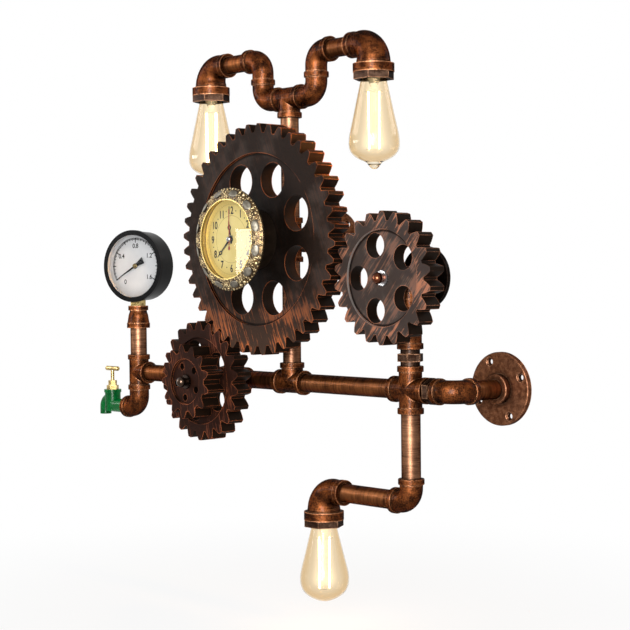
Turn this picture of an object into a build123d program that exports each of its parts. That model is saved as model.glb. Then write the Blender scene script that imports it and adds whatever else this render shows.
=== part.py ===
from build123d import *
import math
import os

os.makedirs("parts", exist_ok=True)

# Directions: +X right along the wall, +Y into the wall, +Z up
RIGHT = Vector(1, 0, 0)
LEFT = Vector(-1, 0, 0)
BACK = Vector(0, 1, 0)
FRONT = Vector(0, -1, 0)
UP = Vector(0, 0, 1)
DOWN = Vector(0, 0, -1)

# Half-inch pipe and its cast fittings
pipe_od = 21.3
pipe_bore = 15.8
thread_gap = 0.05
socket_depth = 11.0
body_od = 25.4
band_od = 28.8
band_width = 6.5
band_round = 0.9
elbow_reach = 26.0
tee_reach = 23.0
street_reach = 23.5
bend_radius = 16.0
hex_flats = 25.0
hex_width = 8.5

# Exposed lengths of the pipes between fitting faces
bar_hex_exposed = 12.5
column_hex_exposed = 18.0
bar_end_exposed = 151.0
drop_exposed = 70.0
drop_arm_exposed = 78.0
left_nipple_exposed = 37.0
right_nipple_exposed = 31.5
gauge_riser_exposed = 35.0
post_top_exposed = 116.0

# Wall flanges and the blank flange behind the right gear
wall_reach = 77.0
flange_radius = 40.0
flange_plate = 6.0
flange_hub_radius = 16.5
flange_seat = 3.0
flange_hole_circle = 32.0
flange_hole_radius = 3.2
flange_sink_radius = 4.9
flange_hole_turn = 25.0
flange_holes = 4
post_flange_radius = 35.0
post_hole_circle = 28.0
post_hole_turn = 41.0
blank_radius = 34.0
blank_thickness = 5.0

# Gear train
module = 5.95
big_teeth = 44
small_teeth = 22
pinion_teeth = 13
pressure_angle = 28.0
big_addendum = 1.6
small_addendum = 6.0
root_clearance = 2.6
backlash = 1.2
big_tooth_width = 6.2
pinion_addendum = 5.8
pinion_dedendum = 3.2
pinion_tooth_width = 10.0
right_gear_angle = 13.3
left_gear_angle = 57.9
big_gear_phase = 5.0
pinion_phase = 15.0
recess_depth = 3.0
big_thickness = 22.5
small_thickness = 21.5
big_front = 55.0
right_front = 44.0
left_front = 56.0
pinion_ahead = 22.0
big_recess_radius = 99.0
big_hole_circle = 72.4
big_hole_radius = 19.8
big_holes = 8
small_recess_radius = 52.0
small_hole_circle = 36.6
small_hole_radius = 13.5
pinion_recess_radius = 27.0
pinion_hole_circle = 19.5
pinion_hole_radius = 4.2
pinion_hole_turn = 44.0
small_holes = 5

# Axles, hub and their nuts
running_gap = 0.06
end_play = 0.3
axle_radius = 6.0
axle_collar_radius = 9.5
axle_thread_radius = 4.0
washer_radius = 8.6
washer_root = 7.5
washer_teeth = 18
washer_thickness = 2.0
nut_height = 5.0
nut_neck_radius = 5.0
ball_radius = 6.25
ball_lift = 5.5
hub_radius = 15.0
hub_collar_radius = 20.0
hub_spigot_radius = 10.0

# Clock
cup_radius = 34.0
cup_wall = 2.0
cup_base = 3.0
cup_depth = 34.5
bezel_radius = 57.6
bezel_back = 2.0
bezel_depth = 12.0
bezel_lip = 1.6
dial_radius = 46.0
dial_thickness = 1.0
dial_gap = 0.1
lens_thickness = 1.5
movement_side = 40.0
movement_depth = 15.0
arbor_radius = 1.5
hand_thickness = 0.6
hand_spacing = 1.25
hour_length = 21.0
hour_width = 1.6
hour_tail = 5.0
minute_length = 31.0
minute_width = 1.2
minute_tail = 6.0
second_length = 34.0
second_width = 0.5
second_tail = 10.0
hand_bulge = 0.45
hour_angle = 100.5
minute_angle = 222.0
second_angle = 90.0

# Pressure gauge
gauge_turn = 16.0
gauge_radius = 47.0
gauge_wall = 4.5
gauge_depth = 29.0
gauge_ahead = 12.0
gauge_dial_depth = 8.0
gauge_lens_depth = 2.5
gauge_lens_thickness = 2.0
gauge_back = 2.0
gauge_neck = 5.0
gauge_stem_radius = 6.5
gauge_stem_flats = 14.0
gauge_pipe_radius = 2.2
gauge_pipe_reach = 18.0
gauge_pointer_length = 31.0
gauge_pointer_tail = 15.0
pointer_tip = 0.4
pointer_waist = 1.4
pointer_fan = 4.5
gauge_zero_angle = 210.0
gauge_arbor_radius = 1.2
reducer_length = 29.0
reducer_band_od = 30.0
reducer_top_od = 26.0
reducer_neck_od = 22.5
reducer_top_width = 6.0

# Garden tap
tap_reach = 34.0
tap_inlet_radius = 9.0
tap_barrel_radius = 10.5
tap_rim_radius = 11.5
tap_rim_height = 4.0
tap_top = 21.0
tap_floor = 7.5
tap_bore = 4.5
tap_seat_wall = 1.0
tap_chamber_radius = 7.0
tap_spout_out = 16.5
tap_spout_rise = 2.5
tap_spout_drop = 12.5
tap_spout_bend = 11.0
tap_spout_radius = 7.5
tap_spout_wall = 2.2
bonnet_spigot = 5.0
bonnet_flats = 14.0
bonnet_height = 5.5
gland_flats = 10.0
gland_height = 6.5
tap_stem_radius = 2.4
tap_bar_height = 49.0
tap_bar_length = 27.0
tap_bar_radius = 3.1
tap_bar_round = 1.8
spindle_collar_radius = 4.6
spindle_collar_height = 2.2
jumper_radius = 6.0
jumper_height = 2.5
jumper_pin_radius = 1.2
jumper_pin_reach = 2.5
jumper_travel = 3.0

# Lamp ends
lamp_elbow_reach = 35.0
lamp_bend = 19.5
lamp_body_radius = 19.0
lamp_side_radius = 14.2
lamp_wall = 2.0
lamp_straight = 2.0
lamp_band_start = 28.5
lamp_band_od = 29.4
lamp_ring_od = 46.0
lamp_ring_width = 9.5
lamp_down_reach = 33.5
bush_flats = 40.0
bush_hex_height = 8.0
bush_thread_radius = 18.0
bush_thread_length = 12.0
bush_bore_radius = 15.8
holder_radius = 15.6
holder_top = 16.0
holder_bottom = 38.0
holder_cup_radius = 13.4
holder_roof = 3.0

# Filament bulbs
cap_radius = 13.2
cap_length = 18.5
bulb_neck_radius = 13.8
bulb_belly_radius = 28.3
bulb_belly_drop = 73.5
bulb_bottom_drop = 95.5
bulb_cone_drop = 0.72
bulb_cone_growth = 0.79
bulb_knee_radius = 9.9
bulb_knee_rise = 1.7
bulb_pip = 6.1
bulb_pip_radius = 6.6
low_bulb_belly_drop = 64.0
low_bulb_bottom_drop = 89.4
glass_wall = 0.9
stem_radius = 1.2
stem_flare_radius = 8.0
stem_flare_length = 14.0
filament_radius = 0.9
filament_top = 16.0
filament_top_circle = 8.4
filament_foot_circle = 7.8
filament_foot_rise = 15.5
filament_count = 4
filament_gap = 0.15
spider_thickness = 0.8
spider_margin = 1.4

# Mains leads inside the pipes
lead_diameter = 3.6
lead_offset = 2.6
tee_lead_bend = 8.0
lamp_lead_bend = 9.0

# Derived places
pipe_radius = pipe_od / 2
bore_radius = pipe_bore / 2
socket_radius = pipe_radius + thread_gap
flange_height = socket_depth + flange_seat
gear_distance = module * (big_teeth + small_teeth) / 2
post_rise = gear_distance * math.sin(math.radians(left_gear_angle))
left_span = gear_distance * math.cos(math.radians(left_gear_angle))
right_drop = gear_distance * math.sin(math.radians(right_gear_angle))
right_span = gear_distance * math.cos(math.radians(right_gear_angle))

wall_corner = Vector(0, -wall_reach, 0)
cross_at = wall_corner + LEFT * (2 * elbow_reach + bar_hex_exposed)
middle_at = cross_at + LEFT * right_span
compound_at = middle_at + LEFT * left_span
gauge_tee_at = compound_at + LEFT * (2 * tee_reach + bar_end_exposed)
post_at = middle_at + UP * post_rise
column_at = cross_at + UP * (post_rise - right_drop)
top_at = post_at + UP * (elbow_reach + post_top_exposed + tee_reach)
drop_corner = cross_at + DOWN * (2 * elbow_reach + drop_exposed)
low_lamp_at = drop_corner + LEFT * (elbow_reach + drop_arm_exposed + lamp_elbow_reach)
riser_out = tee_reach + street_reach
turn_up = elbow_reach + street_reach
lamp_out = riser_out + elbow_reach + lamp_elbow_reach
left_lamp_at = top_at + LEFT * (lamp_out + left_nipple_exposed) + UP * turn_up
right_lamp_at = top_at + RIGHT * (lamp_out + right_nipple_exposed) + UP * turn_up
tap_corner = gauge_tee_at + DOWN * riser_out
tap_at = tap_corner + LEFT * (elbow_reach + tap_reach)


def save(piece, name):
    """Label one finished piece and write it."""
    piece.label = name
    export_step(piece, f"parts/{name}.step")


def group(pieces):
    """Several identical pieces kept together as separate solids."""
    return Compound([solid for piece in pieces for solid in piece.solids()])


def facing(centre):
    """Plane across the viewing direction: its x is +X, its y is +Z and its normal is the front."""
    return Plane(origin=centre, x_dir=RIGHT, z_dir=FRONT)


def turned(origin, direction, outline):
    """Piece turned about an axis from an outline of (radius, height) corners."""
    across = Plane(origin=origin, z_dir=direction)
    with BuildPart() as piece:
        with BuildSketch(Plane(origin=origin, x_dir=across.x_dir, z_dir=-across.y_dir)):
            with BuildLine():
                Polyline(*outline, close=True)
            make_face()
        revolve(axis=Axis(origin, direction))
    return piece.part


def tube_outline(outer, inner, low, high):
    """Outline of a plain ring between two heights."""
    return [(inner, low), (outer, low), (outer, high), (inner, high)]


def pipe(start, direction, exposed):
    """Threaded pipe between two fitting faces, with an end in each socket."""
    return turned(start, direction, tube_outline(pipe_radius, bore_radius, -socket_depth, exposed + socket_depth))


def hex_nipple(start, direction, exposed):
    """Short double-threaded nipple with a spanner hexagon in its middle."""
    with BuildPart() as piece:
        with BuildSketch(Plane(origin=start - direction * socket_depth, z_dir=direction)):
            Circle(pipe_radius)
        extrude(amount=exposed + 2 * socket_depth)
        with BuildSketch(Plane(origin=start + direction * ((exposed - hex_width) / 2), z_dir=direction)):
            RegularPolygon(hex_flats / 2, 6, major_radius=False)
        extrude(amount=hex_width)
        with BuildSketch(Plane(origin=start - direction * socket_depth, z_dir=direction)):
            Circle(bore_radius)
        extrude(amount=exposed + 2 * socket_depth, mode=Mode.SUBTRACT)
    return piece.part


def socket_band(face, direction):
    """Raised band round the mouth of a fitting, added to the piece being built."""
    with BuildSketch(Plane(origin=face, z_dir=-direction)) as band:
        Circle(band_od / 2)
    extrude(band.sketch, amount=band_width)


def socket_bore(face, direction):
    """Threaded mouth cut into the piece being built."""
    with BuildSketch(Plane(origin=face, z_dir=-direction)) as mouth:
        Circle(socket_radius)
    extrude(mouth.sketch, amount=socket_depth, mode=Mode.SUBTRACT)


def round_bands(piece):
    """Round the rims of a fitting's bands."""
    rims = piece.edges().filter_by(GeomType.CIRCLE).filter_by(lambda rim: abs(rim.radius - band_od / 2) < 0.01)
    fillet(rims, radius=min(band_round, band_width / 3))


def fitting(centre, runs, branches, reach):
    """Cast tee or cross: banded sockets on both ends of each run and on each branch."""
    mouths = branches + [run * way for run in runs for way in (1, -1)]
    stretches = [(centre - run * reach, run, 2 * reach) for run in runs]
    stretches += [(centre, branch, reach) for branch in branches]
    with BuildPart() as piece:
        for start, direction, length in stretches:
            with BuildSketch(Plane(origin=start, z_dir=direction)):
                Circle(body_od / 2)
            extrude(amount=length)
        for direction in mouths:
            socket_band(centre + direction * reach, direction)
        round_bands(piece)
        for start, direction, length in stretches:
            with BuildSketch(Plane(origin=start, z_dir=direction)):
                Circle(bore_radius)
            extrude(amount=length, mode=Mode.SUBTRACT)
        for direction in mouths:
            socket_bore(centre + direction * reach, direction)
    return piece.part


def elbow(corner, first, second):
    """Plain elbow with two banded sockets."""
    start = corner + first * elbow_reach
    end = corner + second * elbow_reach
    with BuildPart() as piece:
        with BuildLine() as route:
            FilletPolyline(start, corner, end, radius=bend_radius)
        with BuildSketch(Plane(origin=start, z_dir=-first)):
            Circle(body_od / 2)
        sweep(path=route.line)
        socket_band(start, first)
        socket_band(end, second)
        round_bands(piece)
        with BuildSketch(Plane(origin=start, z_dir=-first)):
            Circle(bore_radius)
        sweep(path=route.line, mode=Mode.SUBTRACT)
        socket_bore(start, first)
        socket_bore(end, second)
    return piece.part


def street_elbow(corner, male, female):
    """Elbow with a threaded spigot on one end and a banded socket on the other."""
    start = corner + male * street_reach
    end = corner + female * elbow_reach
    with BuildPart() as piece:
        with BuildLine() as route:
            FilletPolyline(start, corner, end, radius=bend_radius)
        with BuildSketch(Plane(origin=start, z_dir=-male)):
            Circle(body_od / 2)
        sweep(path=route.line)
        socket_band(end, female)
        round_bands(piece)
        with BuildSketch(Plane(origin=start, z_dir=male)):
            Circle(pipe_radius)
        extrude(amount=socket_depth)
        with BuildSketch(Plane(origin=start, z_dir=-male)):
            Circle(bore_radius)
        sweep(path=route.line, mode=Mode.SUBTRACT)
        with BuildSketch(Plane(origin=start, z_dir=male)):
            Circle(bore_radius)
        extrude(amount=socket_depth, mode=Mode.SUBTRACT)
        socket_bore(end, female)
    return piece.part


def flange(centre, radius, hole_circle, hole_turn):
    """Round wall flange with a threaded hub and screw holes; its back lies on the wall."""
    with BuildPart() as piece:
        with BuildSketch(facing(centre)):
            Circle(radius)
        extrude(amount=flange_plate)
        fillet(piece.faces().sort_by(Axis.Y)[0].edges(), radius=flange_plate / 4)
        with BuildSketch(facing(centre)):
            Circle(flange_hub_radius)
        extrude(amount=flange_height)
        fillet(piece.faces().sort_by(Axis.Y)[0].edges(), radius=flange_seat / 2)
        with BuildSketch(facing(centre)):
            Circle(bore_radius)
            with PolarLocations(hole_circle, flange_holes, start_angle=hole_turn):
                Circle(flange_hole_radius)
        extrude(amount=flange_height, mode=Mode.SUBTRACT)
        with BuildSketch(facing(centre + FRONT * flange_plate)):
            with PolarLocations(hole_circle, flange_holes, start_angle=hole_turn):
                Circle(flange_sink_radius)
        extrude(amount=-(flange_sink_radius - flange_hole_radius), taper=45, mode=Mode.SUBTRACT)
        socket_bore(centre + FRONT * flange_height, FRONT)
    return piece.part


def polar(radius, angle):
    """Point of a gear outline; the angle is in radians."""
    return (radius * math.cos(angle), radius * math.sin(angle))


def involute(angle):
    """Involute function of a pressure angle."""
    return math.tan(angle) - angle


def toothed_face(teeth, addendum, dedendum, tooth_width, phase):
    """Outline of an involute gear, added to the sketch being built."""
    pitch_radius = module * teeth / 2
    base_radius = pitch_radius * math.cos(math.radians(pressure_angle))
    root = pitch_radius - dedendum
    tip = pitch_radius + addendum

    def half_angle(radius):
        flank = math.acos(min(1.0, base_radius / radius))
        return tooth_width / (2 * pitch_radius) + involute(math.radians(pressure_angle)) - involute(flank)

    middle = (root + tip) / 2
    step = 2 * math.pi / teeth
    with BuildLine() as outline:
        for index in range(teeth):
            centre = math.radians(phase) + index * step
            rise = [polar(r, centre - half_angle(r)) for r in (root, middle, tip)]
            fall = [polar(r, centre + half_angle(r)) for r in (tip, middle, root)]
            ThreePointArc(*rise)
            Line(rise[2], fall[0])
            ThreePointArc(*fall)
            Line(fall[2], polar(root, centre + step - half_angle(root)))
    make_face(outline.edges())


def gear_disc(front_centre, thickness, recess_radius, tooth_values, hole_values, bore):
    """Thick gear with a recess in each face, a ring of round holes and a bore."""
    hole_circle, hole_radius, hole_count, hole_turn = hole_values
    back_centre = front_centre + BACK * thickness
    with BuildPart() as piece:
        with BuildSketch(facing(front_centre)):
            toothed_face(*tooth_values)
        extrude(amount=-thickness)
        with BuildSketch(facing(front_centre), facing(back_centre - BACK * recess_depth)):
            Circle(recess_radius)
        extrude(amount=-recess_depth, mode=Mode.SUBTRACT)
        with BuildSketch(facing(front_centre)):
            Circle(bore)
            with PolarLocations(hole_circle, hole_count, start_angle=hole_turn):
                Circle(hole_radius)
        extrude(amount=-thickness, mode=Mode.SUBTRACT)
    return piece.part


def axle(carrier, web_back, web_front):
    """Axle screwed into a tee's front socket: plug, collar, journal and a thread for its nut."""
    shoulder = web_back - end_play
    journal = web_front + end_play
    thread_end = journal + washer_thickness + nut_height
    return turned(carrier, FRONT, [
        (0, tee_reach - socket_depth), (pipe_radius, tee_reach - socket_depth), (pipe_radius, tee_reach),
        (axle_collar_radius, tee_reach), (axle_collar_radius, shoulder), (axle_radius, shoulder),
        (axle_radius, journal), (axle_thread_radius, journal), (axle_thread_radius, thread_end), (0, thread_end)])


def washer(carrier, height):
    """Toothed lock washer in front of a gear's web."""
    step = math.pi / washer_teeth
    outline = [(radius * math.cos(turn * step), radius * math.sin(turn * step))
               for turn, radius in enumerate([washer_radius, washer_root] * washer_teeth)]
    with BuildPart() as piece:
        with BuildSketch(facing(carrier + FRONT * height)):
            with BuildLine():
                Polyline(*outline, close=True)
            make_face()
            Circle(axle_thread_radius + thread_gap, mode=Mode.SUBTRACT)
        extrude(amount=washer_thickness)
    return piece.part


def ball_nut(carrier, height):
    """Blind nut with a short neck and a ball end that covers the axle's thread."""
    seat = carrier + FRONT * height
    bore = axle_thread_radius + thread_gap
    neck_end = ball_lift - math.sqrt(ball_radius ** 2 - nut_neck_radius ** 2)
    ball_end = ball_lift + ball_radius
    with BuildPart() as piece:
        with BuildSketch(Plane(origin=seat, x_dir=RIGHT, z_dir=DOWN)):
            with BuildLine():
                Polyline((0, ball_end), (0, nut_height), (bore, nut_height), (bore, 0),
                         (nut_neck_radius, 0), (nut_neck_radius, neck_end))
                ThreePointArc((nut_neck_radius, neck_end), (ball_radius, ball_lift), (0, ball_end))
            make_face()
        revolve(axis=Axis(seat, FRONT))
    return piece.part


def lamp_elbow(corner, side):
    """Reducing elbow: a pipe socket on its side, widening to a ringed mouth below."""
    start = corner + side * (lamp_bend + lamp_straight)
    end = corner + DOWN * (lamp_bend + lamp_straight)
    mouth = corner + DOWN * lamp_down_reach
    socket_face = corner + side * lamp_elbow_reach
    with BuildPart() as piece:
        with BuildLine() as route:
            FilletPolyline(start, corner, end, radius=lamp_bend)
        with BuildSketch(Plane(origin=start, z_dir=-side)):
            Circle(lamp_side_radius)
        with BuildSketch(Plane(origin=end, z_dir=DOWN)):
            Circle(lamp_body_radius)
        sweep(path=route.line, multisection=True)
        with BuildSketch(Plane(origin=start, z_dir=side)):
            Circle(lamp_side_radius)
        extrude(amount=lamp_elbow_reach - lamp_bend - lamp_straight)
        with BuildSketch(Plane(origin=socket_face, z_dir=-side)):
            Circle(lamp_band_od / 2)
        extrude(amount=lamp_elbow_reach - lamp_band_start)
        with BuildSketch(Plane(origin=end, z_dir=DOWN)):
            Circle(lamp_body_radius)
        extrude(amount=lamp_down_reach - lamp_bend - lamp_straight)
        with BuildSketch(Plane(origin=mouth, z_dir=UP)):
            Circle(lamp_ring_od / 2)
        extrude(amount=lamp_ring_width)
        with BuildSketch(Plane(origin=start, z_dir=-side)):
            Circle(lamp_side_radius - lamp_wall)
        with BuildSketch(Plane(origin=end, z_dir=DOWN)):
            Circle(lamp_body_radius - lamp_wall)
        sweep(path=route.line, multisection=True, mode=Mode.SUBTRACT)
        with BuildSketch(Plane(origin=end, z_dir=DOWN)):
            Circle(lamp_body_radius - lamp_wall)
        extrude(amount=lamp_down_reach - lamp_bend - lamp_straight, mode=Mode.SUBTRACT)
        with BuildSketch(Plane(origin=mouth, z_dir=UP)):
            Circle(bush_thread_radius + thread_gap)
        extrude(amount=bush_thread_length, mode=Mode.SUBTRACT)
        with BuildSketch(Plane(origin=start, z_dir=side)):
            Circle(bore_radius)
        extrude(amount=lamp_elbow_reach - lamp_bend - lamp_straight, mode=Mode.SUBTRACT)
        socket_bore(socket_face, side)
    return piece.part


def lamp_bush(corner):
    """Hexagon bush screwed into a lamp elbow's mouth."""
    mouth = corner + DOWN * lamp_down_reach
    with BuildPart() as piece:
        with BuildSketch(Plane(origin=mouth, z_dir=DOWN)):
            RegularPolygon(bush_flats / 2, 6, major_radius=False)
        extrude(amount=bush_hex_height)
        with BuildSketch(Plane(origin=mouth, z_dir=UP)):
            Circle(bush_thread_radius)
        extrude(amount=bush_thread_length)
        with BuildSketch(Plane(origin=mouth + UP * bush_thread_length, z_dir=DOWN)):
            Circle(bush_bore_radius)
        extrude(amount=bush_thread_length + bush_hex_height, mode=Mode.SUBTRACT)
    return piece.part


def lamp_holder(corner):
    """Screw lamp holder: a cup, open below, inside the bush and the elbow."""
    return turned(corner, DOWN, [
        (0, holder_top), (holder_radius, holder_top), (holder_radius, holder_bottom),
        (holder_cup_radius, holder_bottom), (holder_cup_radius, holder_top + holder_roof),
        (0, holder_top + holder_roof)])


def bulb_cap(corner):
    """Metal screw cap of a bulb, with its contact against the holder's roof."""
    low = holder_bottom + end_play
    high = low - cap_length
    contact = cap_radius / 3
    return turned(corner, DOWN, [
        (0, holder_top + holder_roof), (contact, holder_top + holder_roof), (contact, high),
        (cap_radius, high), (cap_radius, low), (0, low)])


def bulb_skin(seat, belly_drop, bottom_drop, inset, pip):
    """Solid of revolution of a bulb's glass, drawn in by the given inset: cone, belly, dome and pip."""
    neck = bulb_neck_radius - inset
    belly = bulb_belly_radius - inset
    cone = (neck + (belly - neck) * bulb_cone_growth, belly_drop * bulb_cone_drop)
    knee = (bulb_knee_radius - inset / 2, bottom_drop - bulb_knee_rise - inset)
    slope = (-knee[0], bulb_knee_rise * 2.5)
    bottom = bottom_drop + bulb_pip if pip else bottom_drop - inset
    waist = [(bulb_pip_radius, bottom_drop + bulb_pip * 0.28),
             (bulb_pip_radius * 0.58, bottom_drop + bulb_pip * 0.80)] if pip else []
    with BuildPart() as skin:
        with BuildSketch(Plane(origin=seat, x_dir=RIGHT, z_dir=BACK)):
            with BuildLine():
                Line((0, 0), (neck, 0))
                Line((neck, 0), cone)
                Spline(cone, (belly, belly_drop), tangents=[(cone[0] - neck, cone[1]), (0, 1)])
                Spline((belly, belly_drop), knee, tangents=[(0, 1), slope])
                Spline(knee, *waist, (0, bottom), tangents=[slope, (-1, 0)])
                Line((0, bottom), (0, 0))
            make_face()
        revolve(axis=Axis(seat, DOWN))
    return skin.part


def bulb_glass(corner, belly_drop, bottom_drop, pip):
    """Hollow teardrop glass, with the sealing pip where the bulb has one."""
    seat = corner + DOWN * (holder_bottom + end_play)
    hollow = bulb_skin(seat, belly_drop, bottom_drop, glass_wall, False)
    with BuildPart() as piece:
        add(bulb_skin(seat, belly_drop, bottom_drop, 0, pip))
        add(hollow, mode=Mode.SUBTRACT)
    return piece.part


def filament_stem(corner, bottom_drop):
    """Glass stem on the bulb's cap with a spider at each end of the filaments."""
    seat = corner + DOWN * (holder_bottom + end_play)
    foot = bottom_drop - filament_foot_rise
    top_spider = filament_top_circle + spider_margin
    foot_spider = filament_foot_circle + spider_margin
    return turned(seat, DOWN, [
        (0, 0), (stem_flare_radius, 0), (stem_radius * 2, stem_flare_length), (stem_radius, filament_top),
        (top_spider, filament_top), (top_spider, filament_top + spider_thickness),
        (stem_radius, filament_top + spider_thickness), (stem_radius, foot), (foot_spider, foot),
        (foot_spider, foot + spider_thickness), (0, foot + spider_thickness)])


def filaments(corner, bottom_drop):
    """Glowing rods that slope a little inwards from the upper to the lower spider."""
    seat = corner + DOWN * (holder_bottom + end_play)
    high = filament_top + spider_thickness + filament_gap
    low = bottom_drop - filament_foot_rise - filament_gap
    lean = math.atan2(filament_top_circle - filament_foot_circle, low - high)
    rods = []
    for index in range(filament_count):
        turn = 2 * math.pi * index / filament_count
        outward = Vector(math.cos(turn), math.sin(turn), 0)
        slack = filament_radius * math.sin(lean)
        top = seat + DOWN * (high + slack) + outward * filament_top_circle
        foot = seat + DOWN * (low - slack) + outward * filament_foot_circle
        with BuildPart() as rod:
            with BuildSketch(Plane(origin=top, z_dir=foot - top)):
                Circle(filament_radius)
            extrude(amount=(foot - top).length)
        rods.append(rod.part)
    return rods


def lead(points, bends, shift):
    """Two-core lead through the pipes, kept off the centre line by its shift."""
    route_points = [point + shift for point in points]
    with BuildPart() as piece:
        with BuildLine() as route:
            FilletPolyline(*route_points, radius=bends)
        with BuildSketch(Plane(origin=route_points[0], z_dir=route_points[1] - route_points[0])):
            Circle(lead_diameter / 2)
        sweep(path=route.line)
    return piece.part


# Wall flanges and the nipples that hold the frame off the wall
post_foot = Vector(post_at.X, 0, post_at.Z)
wall_nipple_exposed = wall_reach - elbow_reach - flange_height
save(flange(Vector(0, 0, 0), flange_radius, flange_hole_circle, flange_hole_turn), "wall_flange")
save(flange(post_foot, post_flange_radius, post_hole_circle, post_hole_turn), "post_flange")
save(group([pipe(foot + FRONT * flange_height, FRONT, wall_nipple_exposed)
            for foot in (Vector(0, 0, 0), post_foot)]), "wall_nipples")

# Bar along the wall
save(group([elbow(wall_corner, BACK, LEFT), elbow(drop_corner, UP, LEFT)]), "plain_elbows")
column_start = cross_at + UP * elbow_reach
save(group([hex_nipple(wall_corner + LEFT * elbow_reach, LEFT, bar_hex_exposed),
            hex_nipple(column_start, UP, column_hex_exposed)]), "hex_nipples")
save(fitting(cross_at, [RIGHT, UP], [], elbow_reach), "bar_cross")
save(pipe(cross_at + LEFT * elbow_reach, LEFT, right_span - elbow_reach - tee_reach), "bar_pipe_right")
save(fitting(middle_at, [RIGHT], [UP], tee_reach), "middle_tee")
save(pipe(middle_at + LEFT * tee_reach, LEFT, left_span - 2 * tee_reach), "bar_pipe_middle")
save(fitting(compound_at, [RIGHT], [FRONT], tee_reach), "compound_tee")
save(pipe(compound_at + LEFT * tee_reach, LEFT, bar_end_exposed), "bar_pipe_left")
save(fitting(gauge_tee_at, [UP], [RIGHT], tee_reach), "gauge_tee")

# Post behind the big gear, and the tee that spreads the upper lamps
post_lower = post_rise - tee_reach - elbow_reach
save(pipe(middle_at + UP * tee_reach, UP, post_lower), "post_pipe_lower")
save(fitting(post_at, [UP, BACK], [], elbow_reach), "post_cross")
save(pipe(post_at + UP * elbow_reach, UP, post_top_exposed), "post_pipe_upper")
save(fitting(top_at, [RIGHT], [DOWN], tee_reach), "top_tee")

# Column behind the right gear
extension_start = column_start + UP * column_hex_exposed
extension_length = column_at.Z - tee_reach - extension_start.Z
save(fitting(column_at, [BACK], [DOWN], tee_reach), "column_tee")

with BuildPart() as column_extension:
    with BuildSketch(Plane(origin=extension_start, z_dir=UP)):
        Circle(body_od / 2)
    extrude(amount=extension_length)
    socket_band(extension_start, DOWN)
    round_bands(column_extension)
    with BuildSketch(Plane(origin=extension_start, z_dir=UP)):
        Circle(pipe_radius)
    extrude(amount=extension_length + socket_depth)
    with BuildSketch(Plane(origin=extension_start, z_dir=UP)):
        Circle(bore_radius)
    extrude(amount=extension_length + socket_depth, mode=Mode.SUBTRACT)
    socket_bore(extension_start, DOWN)
save(column_extension.part, "column_extension")

save(turned(column_at, BACK, [
    (0, tee_reach - socket_depth), (pipe_radius, tee_reach - socket_depth), (pipe_radius, tee_reach),
    (blank_radius, tee_reach), (blank_radius, tee_reach + blank_thickness),
    (0, tee_reach + blank_thickness)]), "column_blank_flange")

# Lower lamp arm
save(pipe(cross_at + DOWN * elbow_reach, DOWN, drop_exposed), "drop_pipe")
save(pipe(drop_corner + LEFT * elbow_reach, LEFT, drop_arm_exposed), "drop_arm_pipe")

# Street elbows of the upper lamps and the tap, and the nipples out to the lamp elbows
riser_left = top_at + LEFT * riser_out
riser_right = top_at + RIGHT * riser_out
turn_left = riser_left + UP * turn_up
turn_right = riser_right + UP * turn_up
save(group([street_elbow(riser_left, RIGHT, UP), street_elbow(riser_right, LEFT, UP),
            street_elbow(turn_left, DOWN, LEFT), street_elbow(turn_right, DOWN, RIGHT),
            street_elbow(tap_corner, UP, LEFT)]), "street_elbows")
save(group([pipe(turn_left + LEFT * elbow_reach, LEFT, left_nipple_exposed),
            pipe(turn_right + RIGHT * elbow_reach, RIGHT, right_nipple_exposed)]), "lamp_nipples")

# Lamp ends: elbow, hexagon bush, holder and bulb
save(group([lamp_elbow(left_lamp_at, RIGHT), lamp_elbow(right_lamp_at, LEFT),
            lamp_elbow(low_lamp_at, RIGHT)]), "lamp_elbows")
lamp_corners = [left_lamp_at, right_lamp_at, low_lamp_at]
bulb_sizes = [(bulb_belly_drop, bulb_bottom_drop, True), (bulb_belly_drop, bulb_bottom_drop, True),
              (low_bulb_belly_drop, low_bulb_bottom_drop, False)]
save(group([lamp_bush(at) for at in lamp_corners]), "lamp_bushes")
save(group([lamp_holder(at) for at in lamp_corners]), "lamp_holders")
save(group([bulb_cap(at) for at in lamp_corners]), "bulb_caps")
save(group([bulb_glass(at, *size) for at, size in zip(lamp_corners, bulb_sizes)]), "bulb_glasses")
save(group([filament_stem(at, size[1]) for at, size in zip(lamp_corners, bulb_sizes)]), "bulb_stems")
glowing = []
for at, size in zip(lamp_corners, bulb_sizes):
    glowing.extend(filaments(at, size[1]))
save(group(glowing), "bulb_filaments")

# Mains leads from the wall to the three holders
lead_shift = Vector(lead_offset, lead_offset, lead_offset)
left_shift = Vector(-lead_offset, -lead_offset, lead_offset)
low_shift = Vector(-lead_offset, lead_offset, -lead_offset)


def lead_end(corner, shift):
    """Last point of a lead, on the roof of its lamp holder."""
    return corner + DOWN * (holder_top + shift.Z)


upper_bends = [bend_radius, tee_lead_bend, tee_lead_bend, bend_radius, bend_radius, lamp_lead_bend]
right_route = [wall_corner + BACK * (wall_reach - lead_shift.Y), wall_corner, middle_at, top_at, riser_right,
               turn_right, right_lamp_at, lead_end(right_lamp_at, lead_shift)]
left_route = [wall_corner + BACK * (wall_reach - left_shift.Y), wall_corner, middle_at, top_at, riser_left,
              turn_left, left_lamp_at, lead_end(left_lamp_at, left_shift)]
low_route = [wall_corner + BACK * (wall_reach - low_shift.Y), wall_corner, cross_at, drop_corner, low_lamp_at,
             lead_end(low_lamp_at, low_shift)]
low_bends = [bend_radius, tee_lead_bend, bend_radius, lamp_lead_bend]
save(group([lead(right_route, upper_bends, lead_shift), lead(left_route, upper_bends, left_shift),
            lead(low_route, low_bends, low_shift)]), "mains_leads")

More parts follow.
